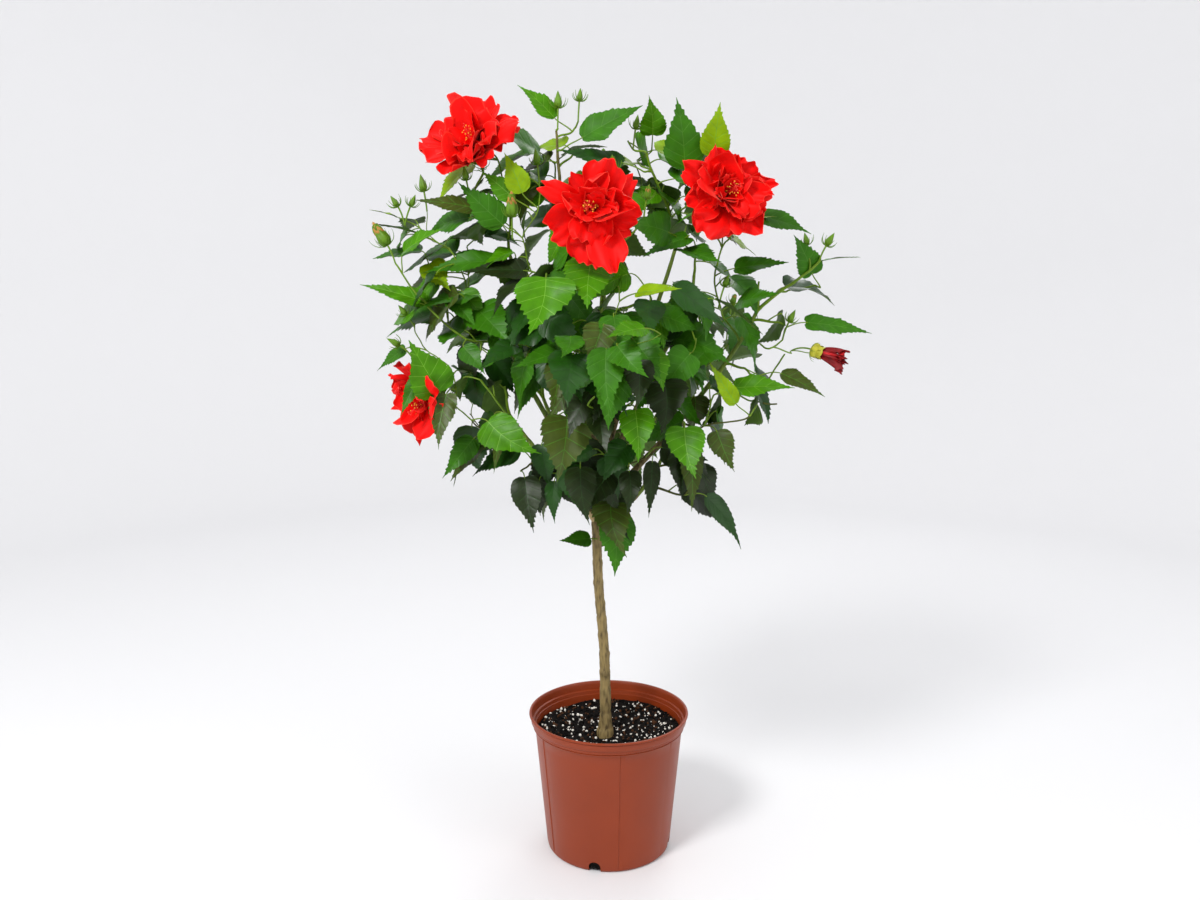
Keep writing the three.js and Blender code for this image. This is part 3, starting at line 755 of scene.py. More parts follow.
def soil_waves():
    """Waves of all sizes that make the mix uneven: their direction, phase and height."""
    rng = seeded("soil")
    waves = []
    for fineness in (55, 80, 120, 170, 240, 330, 470, 640, 900, 1200):
        heading = rng.uniform(0, math.pi)
        waves.append((fineness * math.cos(heading), fineness * math.sin(heading),
                      rng.uniform(0, 6.3), 0.055 / fineness))
    return waves


def inner_radius(height):
    """The pot's inside radius at a height."""
    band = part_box("pot")[1][2] - RIM_BAND
    return POT_BASE_RADIUS - POT_WALL + (POT_NECK_RADIUS - POT_BASE_RADIUS) * height / band


def make_soil():
    """The mix as one closed body that fills the pot, and the grains that lie on it."""
    waves = soil_waves()
    reach = np.linspace(0.004, inner_radius(SOIL_LEVEL) - 0.0004, SOIL_RINGS)
    angles = np.arange(SOIL_SIDES) * 2 * math.pi / SOIL_SIDES
    x, y = np.outer(reach, np.cos(angles)), np.outer(reach, np.sin(angles))
    points = np.stack((x, y, soil_height(x, y, waves)), axis=2)
    for level in SOIL_SKIRT:
        skirt = points[-1:].copy()
        skirt[:, :, :2] *= (inner_radius(level) - 0.0008) / np.hypot(skirt[0, 0, 0], skirt[0, 0, 1])
        skirt[:, :, 2] = level
        points = np.concatenate((points, skirt))
    pile = Pile()
    pile.add(points, grid_faces(len(points), SOIL_SIDES, True), 0)
    ring = np.arange(SOIL_SIDES)
    pile.cap(ring, (0, 0, points[0, :, 2].mean()))
    pile.cap(ring + (len(points) - 1) * SOIL_SIDES, (0, 0, SOIL_FOOT), inward=True)
    pile.piece("potting_mix", [soil_material()], "soil", ["soil"])
    make_grains(waves)


# A grain is an octahedron with each edge split once; its corners are opposite in twos.
OPPOSITE = ((0, 3), (1, 4), (2, 5))
GRAIN_EDGES = [(a, b) for first, second in ((0, 1), (0, 2), (1, 2))
               for a in OPPOSITE[first] for b in OPPOSITE[second]]


def grain_faces():
    """The triangles of a grain: four for each side of the octahedron."""
    middle = {edge: 6 + number for number, edge in enumerate(GRAIN_EDGES)}
    faces = []
    for a, b, c in itertools.product(*OPPOSITE):
        ab, ac, bc = middle[a, b], middle[a, c], middle[b, c]
        part = [(a, ab, ac), (ab, b, bc), (ac, bc, c), (ab, bc, ac)]
        outward = ((a == 0) + (b == 1) + (c == 2)) % 2 == 1
        faces += part if outward else [face[::-1] for face in part]
    return faces


GRAIN_FACES = grain_faces()


def lump(pile, place, size, rng, kind):
    """Adds a small uneven grain."""
    corners = np.vstack((np.eye(3), -np.eye(3))) * rng.uniform(0.7, 1.25, (6, 1))
    middles = np.array([corners[a] + corners[b] for a, b in GRAIN_EDGES])
    middles = middles * rng.uniform(0.52, 0.72, (12, 1))
    turn = np.linalg.qr(rng.normal(size=(3, 3)))[0]
    turn[:, 0] *= np.sign(np.linalg.det(turn))
    pile.add(place + (np.vstack((corners, middles)) * size) @ turn.T, GRAIN_FACES, kind)


def make_grains(waves):
    """White perlite, bark chips and peat crumbs that lie in the top of the mix."""
    rng = seeded("grains")
    perlite, crumbs = Pile(), Pile()
    stem = np.array(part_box("trunk")[0][:2]) * 0.2
    chip, crumb = np.array((1.5, 0.8, 0.45)), np.array((1, 0.9, 0.8))
    for number in range(GRAIN_COUNT):
        reach = GRAIN_REACH * math.sqrt(rng.uniform(0.01, 1))
        angle = rng.uniform(0, 2 * math.pi)
        x, y = reach * math.cos(angle), reach * math.sin(angle)
        if math.hypot(x - stem[0], y - stem[1]) < 0.014:
            continue
        level = soil_height(x, y, waves)
        if number % 4 == 0:
            size = 0.0008 + 0.0022 * rng.uniform() ** 1.6
            lump(perlite, (x, y, level + size * 0.25), size * crumb, rng, 0)
        else:
            size = rng.uniform(0.0014, 0.0036)
            shape = chip if rng.uniform() < 0.4 else crumb
            lump(crumbs, (x, y, level + size * 0.15), size * shape, rng, int(rng.uniform() < 0.3))
    perlite.piece("perlite", [living("perlite", linear(232, 228, 218), 0.9, 0.06, 400.0)], "soil")
    bits = [living("peat_crumb", linear(12, 9, 8), 0.95, 0.3, 300.0, 0.15),
            living("bark_chip", linear(70, 44, 26), 0.85, 0.3, 300.0, 0.15)]
    crumbs.piece("soil_crumbs", bits, "soil")


# ---------------------------------------------------------------- wood

class Limbs:
    """All the wood grown so far, so that a new twig can find where it starts."""

    def __init__(self):
        self.points, self.along, self.radii, self.last, self.used = [], [], [], [], []

    def add(self, path, radii):
        self.points.append(path)
        self.along.append(directions(path))
        self.radii.append(np.asarray(radii))
        self.last.append(np.arange(len(path)) == len(path) - 1)
        self.used.append(np.zeros(len(path), bool))

    def start_for(self, target):
        """The best place for a twig to leave for a target: near it, and already heading there."""
        points, along = np.concatenate(self.points), np.concatenate(self.along)
        radii, last = np.concatenate(self.radii), np.concatenate(self.last)
        away = target - points
        distance = np.linalg.norm(away, axis=1) + 1e-9
        agree = (away * along).sum(axis=1) / distance
        steep = away[:, 2] / distance
        cost = distance * (1.5 - 0.5 * agree - 0.135 * steep)
        best = cost.argmin()
        counts = np.cumsum([len(path) for path in self.points])
        limb = int(np.searchsorted(counts, best, "right"))
        self.used[limb][best - counts[limb]] = True
        return points[best], along[best], radii[best], bool(last[best])


def wood_relief(path, sides, rng, knob_gap, strength):
    """Bark relief: long ridges, uneven patches, and a swollen ring at each old leaf scar."""
    count = len(path)
    length = np.concatenate(([0], np.cumsum(np.linalg.norm(np.diff(path, axis=0), axis=1))))[:, None]
    angle = np.arange(sides)[None, :] * 2 * math.pi / sides
    relief = np.ones((count, sides))
    for wave in (2, 3, 5, 7, 9):
        phase, drift, pitch = rng.uniform(0, 6.3), rng.uniform(8, 30), rng.uniform(60, 260)
        ridge = np.sin(wave * angle + phase + np.sin(length * drift) * 1.5)
        relief += strength * 0.3 * ridge * (0.6 + 0.4 * np.sin(length * pitch + phase))
    relief += rng.normal(0, strength * 0.16, (count, sides))
    for number in range(int(length[-1, 0] / knob_gap) + 1):
        at = knob_gap * (number + rng.uniform(0.25, 0.75))
        side = math.radians(GOLDEN_ANGLE * number)
        near = np.exp(-((length - at) / 0.0045) ** 2)
        relief += strength * near * (0.7 + 1.3 * np.clip(np.cos(angle - side), 0, 1) ** 2)
        relief -= strength * 0.8 * np.exp(-((length - at - 0.007) / 0.002) ** 2)
    return relief


def make_stem(limbs, rng):
    """The stem and the pruned stub at its fork; returns the stem's centre line."""
    line, radii = resample(*centre_line("trunk", 14), TRUNK_RINGS)
    foot = line[0] + (line[0] - line[3]) * (0.012 / np.linalg.norm(line[0] - line[3]))
    line, radii = np.vstack((foot, line)), np.concatenate(([radii[0] * 1.06], radii))
    stem = Pile()
    tube(stem, line, radii * 0.985, TRUNK_SIDES, 0, wood_relief(line, TRUNK_SIDES, rng, 0.031, 0.075))
    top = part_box("trunk")[1][2]
    base = line[np.abs(line[:, 2] - (top - STUB_DROP)).argmin()]
    bends = [base + towards(STUB_HEADING, pitch) * reach for pitch, reach in STUB_BENDS]
    tube(stem, curve(base, *bends, 8), np.linspace(0.0042, 0.0034, 8), 14, 1)
    bark = bark_material("stem_bark", linear(74, 60, 30), linear(142, 122, 74), 0.2)
    cut_wood = living("cut_wood", linear(196, 170, 126), 0.8, 0.1, 200.0)
    stem.piece("stem", [bark, cut_wood], "bark", ["trunk"])
    upper = line[:, 2] > top - 0.10
    limbs.add(line[upper], radii[upper])
    return line


def make_boughs(limbs, stem_line, rng):
    """The boughs along the frame's own limbs, brown at first and green further on."""
    wood = Pile()
    for name in BOUGHS:
        middle, sizes = resample(*centre_line(name, 12), BOUGH_RINGS)
        at = stem_line[np.abs(stem_line[:, 2] - (middle[0, 2] - BOUGH_ROOT_DROP)).argmin()]
        middle, sizes = np.vstack((at, middle)), np.concatenate(([sizes[0]], sizes))
        middle, sizes = resample(middle, sizes, BOUGH_RINGS * 2)
        relief = wood_relief(middle, BOUGH_SIDES, rng, 0.034, 0.07)
        green = np.arange(len(middle) - 1) > len(middle) * rng.uniform(0.4, 0.55)
        tube(wood, middle, sizes, BOUGH_SIDES, green.astype(int), relief)
        limbs.add(middle, sizes)
    skins = [bark_material("bough_bark", linear(66, 54, 28), linear(122, 106, 62), 0.4),
             bark_material("green_bark", linear(74, 96, 22), linear(116, 140, 42), 0.2)]
    wood.piece("boughs", skins, "bark", BOUGHS)


class Twig:
    """A grown shoot: its path, its radii, and how far along it something is borne."""

    def __init__(self, path, radii, used):
        self.path, self.radii, self.used = path, radii, used
        self.reach = 0.0
        steps = np.linalg.norm(np.diff(path, axis=0), axis=1)
        self.length = np.concatenate(([0], np.cumsum(steps)))

    def at(self, distance):
        """The place, the heading and the radius at a distance along the twig."""
        place = np.array([np.interp(distance, self.length, self.path[:, axis]) for axis in range(3)])
        along = directions(self.path)
        heading = unit([np.interp(distance, self.length, along[:, axis]) for axis in range(3)])
        return place, heading, float(np.interp(distance, self.length, self.radii))


def grow(limbs, target, arrive, rng, thick):
    """Grows a twig from the nearest fitting limb to a target, and adds it to the wood."""
    start, heading, radius, at_end = limbs.start_for(target)
    gap = np.linalg.norm(target - start)
    if gap < 0.004:
        return None
    straight = unit(target - start)
    leave = unit(heading * (0.8 if at_end else 0.5) + straight)
    arrive = unit(unit(arrive) * 0.6 + straight)
    count = max(5, int(gap / TWIG_STEP) + 3)
    path = curve(start, start + leave * gap * 0.3, target - arrive * gap * 0.26, target, count)
    sway = rng.normal(0, 0.0003, (count, 3))
    sway[0] = sway[-1] = 0
    path = path + sway
    wanted = (TWIG_ROOT_RADIUS + gap * TWIG_TAPER) * thick
    first = radius * 0.97 if at_end else min(radius * 0.8, wanted)
    radii = np.linspace(first, min(first, TWIG_TIP_RADIUS * max(thick, 1)), count)
    limbs.add(path, radii)
    return Twig(path, radii, limbs.used[-1])


def spread_points(points, count):
    """Places well inside a mass, each as far as it can be from those before it."""
    middle = (points.min(axis=0) + points.max(axis=0)) / 2
    inner = middle + (points - middle) * 0.56
    chosen = [inner[np.linalg.norm(inner[:, :2], axis=1).argmax()]]
    while len(chosen) < count:
        gaps = np.min([np.linalg.norm(inner - place, axis=1) for place in chosen], axis=0)
        chosen.append(inner[gaps.argmax()])
    return chosen


def stalk_start(foot, heading, pitch):
    """About where the stalk of a feature leaf leaves its twig."""
    return foot - towards(heading, pitch * 0.4 + 18) * STALK_REACH


def twig_targets():
    """Where the twigs end, where they head and how thick they are.

    They end under each feature leaf, bloom and bud, and are spread through each mass.
    """
    targets = []
    for mass, shares, heading, pitch, *_ in FEATURE_LEAVES:
        foot = spot(mass, shares)
        targets.append((stalk_start(foot, heading, pitch), foot, 1.0))
    for mass, shares, heading, pitch, *_ in BLOOMS:
        throat = spot(mass, shares)
        targets.append((throat - towards(heading, pitch) * 0.05 - UP * 0.03, throat, 1.3))
    for mass, shares, heading, pitch, *_ in (*BUDS, SPENT_BLOOM):
        base = spot(mass, shares)
        targets.append((base - unit(towards(heading, pitch) + UP * 0.4) * 0.03, base, 1.0))
    for name in MASSES:
        if name in SINGLE_LEAVES:
            continue
        points = node_arrays(name)[0]
        count = max(2, round(np.linalg.norm(np.ptp(points, axis=0)) * TWIGS_PER_METRE))
        for place in spread_points(points, count):
            outward = unit(place * (1, 1, 0)) * 0.6 + UP * 0.8
            targets.append((place, place + outward * 0.1, 1.0))
    return targets


def grow_twigs(limbs, fork):
    """Grows the shoots first, and then a twig to each target, from the fork outwards."""
    rng = seeded("twigs")
    twigs = []
    for chain in SHOOTS:
        places = [spot(mass, shares) for mass, shares in chain]
        for place, after in zip(places, places[1:] + places[-1:]):
            twigs.append(grow(limbs, place, after - place + UP * 0.01, rng, SHOOT_THICKNESS))
    for place, beyond, thick in sorted(twig_targets(), key=lambda row: np.linalg.norm(row[0] - fork)):
        outward = unit(place * (1, 1, 0) + 1e-9)
        arrive = unit(beyond - place) * 0.7 + UP * 0.45 + outward * 0.35
        twigs.append(grow(limbs, place, arrive, rng, thick))
    return [twig for twig in twigs if twig is not None]


def make_twigs(twigs):
    """Draws each twig as far as it bears something."""
    pile = Pile()
    for twig in twigs:
        end = max(twig.reach, twig.length[twig.used].max(initial=0.0))
        if end == 0.0:
            continue
        path, radii = resample(twig.path, twig.radii, len(twig.path) * 2)
        kept = np.linspace(0, twig.length[-1], len(path)) < end + TWIG_OVERRUN
        path, radii = path[kept], radii[kept]
        swell = 1 + 0.12 * np.maximum(0, np.sin(np.arange(len(path)) * 1.9)) ** 6
        young_kind = 1 if twig.path[-1][2] > GREEN_SHOOT_HEIGHT else 2
        kind = 0 if twig.radii[0] > BROWN_TWIG_RADIUS else young_kind
        tube(pile, path, radii * swell, TWIG_SIDES, kind)
    skins = [bark_material("twig_bark", linear(72, 68, 28), linear(118, 112, 54), 0.4),
             living("green_shoot", linear(100, 132, 26), 0.45, 0.18, 90.0),
             living("old_shoot", linear(78, 84, 30), 0.55, 0.25, 90.0)]
    pile.piece("twigs", skins, "bark")


# ---------------------------------------------------------------- leaves

def leaf_rows():
    """Shares round the half outline: a tooth and a notch in turn, and a vein to each second tooth."""
    rows, lift, veins = [0.0, 0.05, 0.11], [0.0, 0.0, 0.0], []
    step = (TEETH_TO - TEETH_FROM) / LEAF_TEETH
    for tooth in range(LEAF_TEETH):
        share = TEETH_FROM + step * tooth
        if tooth % 2 == 0:
            veins.append(len(rows))
            rows.append(share)
            lift.append(1.0)
        rows += [share + VEIN_SHARE, share + step * 0.6]
        lift += [1.0, -1.0]
    return np.array(rows + [1.0]), np.array(lift + [0.0]), veins


LEAF_SHARES, TOOTH_LIFT, VEIN_ROWS = leaf_rows()


def leaf_faces():
    """The quads of the upper side and of the underside, and which of the upper are veins."""
    rows = len(LEAF_SHARES)
    upper = grid_faces(rows, LEAF_COLUMNS)
    under = upper[:, BACK_OF_QUAD] + rows * LEAF_COLUMNS
    row, column = upper[:, 0] // LEAF_COLUMNS, upper[:, 0] % LEAF_COLUMNS
    vein = (column == LEAF_COLUMNS // 2 - 1) | np.isin(row, VEIN_ROWS)
    return upper, under, vein


LEAF_UPPER, LEAF_UNDER, LEAF_VEIN = leaf_faces()


def leaf_blade(length, width, rng):
    """The points of a flat, quilted and toothed leaf: across, along and up."""
    half = width / 2
    coarse = 0.012 + 0.06 * rng.uniform(0, 1, len(LEAF_SHARES)) ** 2
    coarse[np.array(VEIN_ROWS) + 1] = coarse[VEIN_ROWS]
    teeth = TOOTH_LIFT * coarse * np.interp(LEAF_SHARES, (0.1, 0.3, 0.8, 1.0), (0.4, 1.0, 0.8, 0.2))
    edge_x, edge_y = (np.interp(LEAF_SHARES, LEAF_OUTLINE[:, 0], LEAF_OUTLINE[:, column])
                      for column in (1, 2))
    edge_x = edge_x + teeth
    edge_y = edge_y + teeth * 0.5
    shoulder = np.interp(LEAF_SHARES, (0, 0.1, 0.2, 0.45), (0, 0.7, 1, 0))
    edge_y = edge_y + rng.uniform(0.0, 0.10) * shoulder
    edge_x = np.maximum(edge_x, 0.012) * half
    edge_y = edge_y * length
    rib_y = np.clip((LEAF_SHARES - 0.22) / 0.78, 0, 1) ** 1.35 * length
    rib_y = rib_y + np.clip(LEAF_SHARES, 0, 0.22) * 0.03 * length
    rib = np.minimum(RIB_WIDTH / 2 * (1.3 - LEAF_SHARES), edge_x * 0.3)
    shares = np.tile((0.0, 0.36, 0.7, 1.0), (len(rib), 1))
    shares[:, 0] = rib / edge_x
    x = shares * edge_x[:, None]
    y = rib_y[:, None] + shares * (edge_y - rib_y)[:, None]
    bulge = np.array((0.0, 1.0, 0.8, 0.0)) * (-TOOTH_LIFT[:, None]) * rng.uniform(0.0003, 0.0006)
    sides = []
    for mirror in (-1, 1):
        flutter = np.sin(y / length * rng.uniform(9, 15) + rng.uniform(0, 6.3))
        z = bulge + flutter * (x / half) ** 2 * width * rng.uniform(0.03, 0.075)
        side = np.stack((x * mirror, y, z), axis=2)
        sides.append(side[:, ::-1] if mirror < 0 else side)
    blade = np.concatenate(sides, axis=1)
    sweep = rng.normal(0, 0.22) * width
    blade[..., 0] += sweep * np.clip(blade[..., 1] / length, 0, 1) ** 2.5
    return blade


def bend_blade(points, length, width, arch, fold, twist):
    """Folds a blade up along its rib, arches it down along its length, and twists it."""
    x, y, z = points[..., 0], points[..., 1], points[..., 2]
    z = z + np.abs(x) * fold * (1 - 0.5 * np.abs(x) / (width / 2 + 1e-9))
    turn = twist * y / length
    x, z = x * np.cos(turn) - z * np.sin(turn), x * np.sin(turn) + z * np.cos(turn)
    bend = arch / length if abs(arch) > 1e-3 else 1e-3 / length
    angle = bend * y
    return np.stack((x, np.sin(angle) / bend + z * np.sin(angle),
                     -(1 - np.cos(angle)) / bend + z * np.cos(angle)), axis=-1)


def stand(points, foot, along, face):
    """Puts a shape that points along +Y and faces +Z at a foot, pointing along and facing face."""
    along = unit(along)
    normal = unit(np.asarray(face, float) - along * np.dot(face, along))
    across = np.cross(along, normal)
    return foot + points @ np.array((across, along, normal))


class Foliage:
    """The leaves and their stalks, gathered by tint."""

    groups = {"young": 0, "bright": 0, "mid": 1, "olive": 1, "deep": 2, "dark": 2}
    order = (("young", "bright", "under", "vein_light"), ("mid", "olive", "under", "vein_middle"),
             ("deep", "dark", "under", "vein_dark"))

    def __init__(self):
        self.piles = [Pile() for _ in self.order]
        self.stalks = Pile()
        self.rng = seeded("leaves")
        self.middles, self.shown, self.keep_clear = [], [], []

    def leaf(self, node, foot, along, face, length, width, tint, arch=None):
        """Adds one leaf: its blade at the foot, and its stalk from the node on the twig."""
        rng = self.rng
        flat = leaf_blade(length, width, rng)
        arch = rng.uniform(0.25, 0.9) if arch is None else arch
        fold, twist = rng.uniform(0.12, 0.42), rng.normal(0, 0.22)
        blade = bend_blade(flat, length, width, arch, fold, twist)
        under = bend_blade(flat - UP * LEAF_THICKNESS, length, width, arch, fold, twist)
        group = self.groups[tint]
        pile, names = self.piles[group], self.order[group]
        upper_kind = np.where(LEAF_VEIN, 3, names.index(tint))
        points = np.concatenate((blade.reshape(-1, 3), under.reshape(-1, 3)))
        points = stand(points, foot, along, face)
        pile.add(points, np.concatenate((LEAF_UPPER, LEAF_UNDER)),
                 np.concatenate((upper_kind, np.full(len(LEAF_UNDER), 2))))
        gap = np.linalg.norm(foot - node)
        leave = unit(unit(foot - node) + UP * 0.25)
        stalk = curve(node, node + leave * gap * 0.4, foot - unit(along) * gap * 0.3,
                      foot + unit(along) * 0.002, 8)
        tube(self.stalks, stalk, np.linspace(0.00115, 0.0008, 8), 6, 0)
        self.middles.append(foot + unit(along) * length * 0.42)

    def fits(self, foot, along, length, spacing):
        """Whether a leaf stays in the foliage, clear of the blooms and of the other leaves."""
        places = np.array([foot + unit(along) * length * share for share in (0.42, 0.95)])
        if outside(places[0]) > MASS_GAP or outside(places[1]) > OUTSIDE_LIMIT:
            return False
        if np.linalg.norm(np.array(self.middles) - places[0], axis=1).min() < spacing:
            return False
        away = np.array(self.shown) - places[0]
        near = np.hypot(away[:, 0], away[:, 2]) < SHOWN_RADIUS
        if (near & (away[:, 1] > -0.01) & (away[:, 1] < 0.2)).any():
            return False
        return not any(self.covers(zone, place) for zone in self.keep_clear for place in places)

    @staticmethod
    def covers(zone, place):
        """Whether a place is in a bloom, or before its face."""
        centre, facing, reach = zone
        away = place - centre
        ahead = away.dot(facing)
        aside = np.linalg.norm(away - facing * ahead)
        return -0.3 * reach < ahead < 0.16 and aside < reach * 1.05

    def make(self):
        skins = leaf_materials()
        for name, pile, tints in zip(("light", "middle", "dark"), self.piles, self.order):
            pile.piece("leaves_" + name, [skins[tint] for tint in tints], "foliage")
        stalk_skin = living("leaf_stalk", linear(104, 134, 28), 0.45, 0.15, 90.0)
        self.stalks.piece("leaf_stalks", [stalk_skin], "foliage")


def feature_leaves(foliage, limbs):
    """The listed leaves. The rest of the foliage must not hide them."""
    for mass, shares, heading, pitch, length, width, tint, face in FEATURE_LEAVES:
        foot = spot(mass, shares)
        node = limbs.start_for(stalk_start(foot, heading, pitch))[0]
        foliage.leaf(node, foot, towards(heading, pitch + 4), FACES[face], length, width, tint, 0.3)
        foliage.shown.append(foliage.middles[-1])


def tint_for(place, young, rng):
    """A leaf's tint: fresh at the tips; lighter at the top and darker inside and low down, partly by
    the leaves' age and partly as painted light and shade.
    """
    # Height and depth in the crown set how light a leaf is coloured: partly its age, partly painted
    # light at the top and painted shade inside and low down.
    height = (place[2] - 0.50) / 0.62
    painted_shade_depth = np.clip(-outside(place) / 0.05, 0, 1)
    young = young * np.clip((place[2] - 0.74) / 0.16, 0.25, 1)
    light = height * 0.98 - painted_shade_depth * 0.32 + young * 0.45 + rng.normal(0, 0.17)
    if rng.uniform() < OLIVE_SHARE:
        return "olive"
    return next(tint for level, tint in TINT_LEVELS if light < level)


def leaf_pitch(place, rng):
    """How a leaf hangs: level or rising near the top, drooping lower down."""
    height = np.clip((place[2] - 0.50) / 0.65, 0, 1)
    return rng.normal(-68 + 74 * height, 18)


def spacing_at(place):
    """How far apart the leaves stay: further at the right and at the top, where the wall shows."""
    return (LEAF_SPACING + np.interp(place[0], (0.08, 0.20, 0.26), (0, 0.02, 0.044))
            + np.interp(place[2], (0.92, 1.04), (0, 0.009)))


def grow_leaf(foliage, twig, distance, turn, young, rng):
    """Adds a leaf at a place along a twig, if one of a few tries finds room."""
    place, heading, radius = twig.at(distance)
    side, other = square_to(heading, (0.3, 0.2, 0.9))
    out = side * math.cos(math.radians(turn)) + other * math.sin(math.radians(turn))
    away = unit(place * (1, 1, 0) + 1e-9)
    leave = unit(out + away * 0.5 + heading * 0.35 + UP * 0.2)
    length = rng.uniform(*LEAF_LENGTHS) * (1 - 0.28 * young * rng.uniform(0.2, 1))
    width = length * (rng.uniform(*LEAF_BREADTHS) - (0.08 if place[2] < 0.74 else 0))
    for _ in range(LEAF_TRIES):
        stalk = rng.uniform(*STALK_LENGTHS)
        flat = math.degrees(math.atan2(leave[1], leave[0])) + rng.normal(0, 35)
        along = towards(flat, np.clip(leaf_pitch(place, rng), -86, 55))
        foot = place + unit(leave + along * 0.35 + rng.normal(0, 0.3, 3)) * stalk
        if foliage.fits(foot, along, length, spacing_at(place)):
            face = UP + away * 0.7 + rng.normal(0, 0.28, 3)
            face[1] -= 0.45 * (place[1] < 0.03)
            tint = tint_for(foot + along * length * 0.5, young, rng)
            foliage.leaf(place + leave * radius * 0.5, foot, along, face, length, width, tint)
            twig.reach = max(twig.reach, distance)
            return


def grown_leaves(foliage, twigs):
    """Leaves at the nodes of each twig, a golden angle apart, wherever there is room."""
    rng = seeded("grown leaves")
    for twig in twigs:
        reach = twig.length[-1]
        turn = rng.uniform(0, 360)
        first = max(0.012, reach - LEAFY_REACH)
        nodes = np.arange(reach, first, -NODE_SPACING * rng.uniform(0.85, 1.1))
        for order, distance in enumerate(nodes):
            turn += GOLDEN_ANGLE
            young = (1.0, 0.4, 0.0)[min(order, 2)]
            grow_leaf(foliage, twig, distance, turn, young, rng)


# ---------------------------------------------------------------- blooms and buds

def petal_grid():
    """Shares along and across a petal, with a narrow strip all round its free edge for the painted
    highlight.
    """
    along = np.concatenate((np.linspace(0, 0.984, PETAL_ROWS - 1), [1.0]))
    across = np.concatenate(([-1.0], np.linspace(-0.968, 0.968, PETAL_COLUMNS - 2), [1.0]))
    return along, across


PETAL_ALONG, PETAL_ACROSS = petal_grid()


def petal_faces():
    """Quads of both sides of a petal, and their kinds: 0 petal, 1 throat, 2 rim, the edge strip
    painted paler as a highlight.
    """
    upper = grid_faces(PETAL_ROWS, PETAL_COLUMNS)
    row, column = upper[:, 0] // PETAL_COLUMNS, upper[:, 0] % PETAL_COLUMNS
    # The rim strip takes the paler skin: a painted highlight along the petal's edge.
    rim = (row == PETAL_ROWS - 2) | (((column == 0) | (column == PETAL_COLUMNS - 2)) & (row > 7))
    kind = np.where(rim, 2, np.where(PETAL_ALONG[row] < 0.26, 1, 0))
    under = upper[:, BACK_OF_QUAD] + PETAL_ROWS * PETAL_COLUMNS
    return np.concatenate((upper, under)), np.concatenate((kind, kind))


PETAL_FACES, PETAL_KINDS = petal_faces()


def petal(pile, base, axis, clock, length, width, lean, rng, ruffle, cup, roll=0.0,
          kinds=PETAL_KINDS):
    """Adds one petal at a clock angle, with its lean from the bloom's axis at its base and tip."""
    outward = clock_direction(axis, clock)
    aside = np.cross(axis, outward)
    v, u = np.meshgrid(PETAL_ALONG, PETAL_ACROSS, indexing="ij")
    phase = rng.uniform(0, 6.3, 7)
    tip_curl = rng.normal(8, 26) * ruffle * np.clip((v - 0.7) / 0.3, 0, 1) ** 2
    angle = np.radians(lean[0] + (lean[1] - lean[0]) * v ** 0.8 + tip_curl)
    step = np.diff(PETAL_ALONG, prepend=0)[:, None] * length
    lobed = 1 - 0.15 * np.abs(u) ** 3 * v ** 2
    ripple = 0.045 * np.sin(u * 5 + phase[0]) + 0.022 * np.sin(u * 11 + phase[1])
    lobed = lobed + ruffle * v ** 3 * ripple
    out = np.cumsum(np.sin(angle) * step, axis=0) * lobed
    rise = np.cumsum(np.cos(angle) * step, axis=0) * lobed
    half = np.interp(PETAL_ALONG, PETAL_SHAPE[:, 0], PETAL_SHAPE[:, 1]) * width / 2
    half = half[:, None] * (1 + 0.045 * ruffle * v * np.sin(v * 11 + phase[2] + np.sign(u)))
    wave = 0.10 * np.sin(u * 3.8 + v * 2 + phase[3]) + 0.06 * np.sin(u * 8 + v * 3 + phase[4]) * v
    wave = wave * v ** 1.4 + 0.035 * np.sin(u * 12 + phase[5]) * v ** 5
    wave = wave + 0.08 * np.abs(u) ** 3 * v * np.sin(v * 9 + phase[6] + 2 * np.sign(u))
    lift = wave * width * ruffle + np.cos(u * 16) * v * (1 - v) * 0.0016 * ruffle
    lift = lift + u ** 2 * half * cup * (1 - 0.4 * v) + u * half * roll * v
    spread = u * half * (1 - 0.12 * abs(cup) * np.abs(u))
    sides = []
    for offset in (0.0, -PETAL_THICKNESS):
        over = lift + offset
        r, a = out - np.cos(angle) * over, rise + np.sin(angle) * over
        sides.append(base + r[..., None] * outward + a[..., None] * axis + spread[..., None] * aside)
    pile.add(np.array(sides), PETAL_FACES, kinds)


def pointed(pile, base, axis, length, radius, kind, waist=0.35, ridges=0, twist=0.0, sides=20):
    """Adds a pointed body, such as a bud, with ridges that may wind round it."""
    shares = np.linspace(0, 1, 16)
    swell = np.sin(np.pi * np.clip(shares, 0.02, 1) ** waist) ** 0.8
    swell = np.maximum(swell, 0.03) * (1 - 0.15 * shares)
    side, other = square_to(axis)
    angles = np.arange(sides) * 2 * math.pi / sides
    rings = []
    for share, size in zip(shares, swell):
        ridge = 1 + (0.14 * np.cos(ridges * (angles + twist * share)) if ridges else 0)
        offset = np.outer(np.cos(angles) * ridge, side) + np.outer(np.sin(angles) * ridge, other)
        rings.append(base + axis * share * length + offset * radius * size)
    pile.add(np.array(rings), grid_faces(len(shares), sides, True), kind)


def spikes(pile, base, axis, count, length, spread, radius, kind, rng):
    """Adds a whorl of thin bracts that curve out from a base."""
    side, other = square_to(axis)
    start = rng.uniform(0, 6.3)
    for number in range(count):
        angle = start + number * 2 * math.pi / count + rng.normal(0, 0.12)
        out = side * math.cos(angle) + other * math.sin(angle)
        size = length * rng.uniform(0.8, 1.15)
        tip = base + out * size * spread + axis * size * (1.05 - spread * 0.5)
        path = curve(base + out * 0.001, base + out * size * spread * 0.8,
                     tip - axis * size * 0.25, tip, 7)
        tube(pile, path, np.linspace(radius, radius * 0.25, 7), 6, kind)


def lobes(pile, base, axis, count, length, width, lean, kind, rng):
    """Adds the pointed lobes of a calyx, as short broad petals without ruffles."""
    start = rng.uniform(0, 360)
    for number in range(count):
        petal(pile, base, axis, start + number * 360 / count, length, width, lean, rng, 0.15, 0.4,
              kinds=kind)


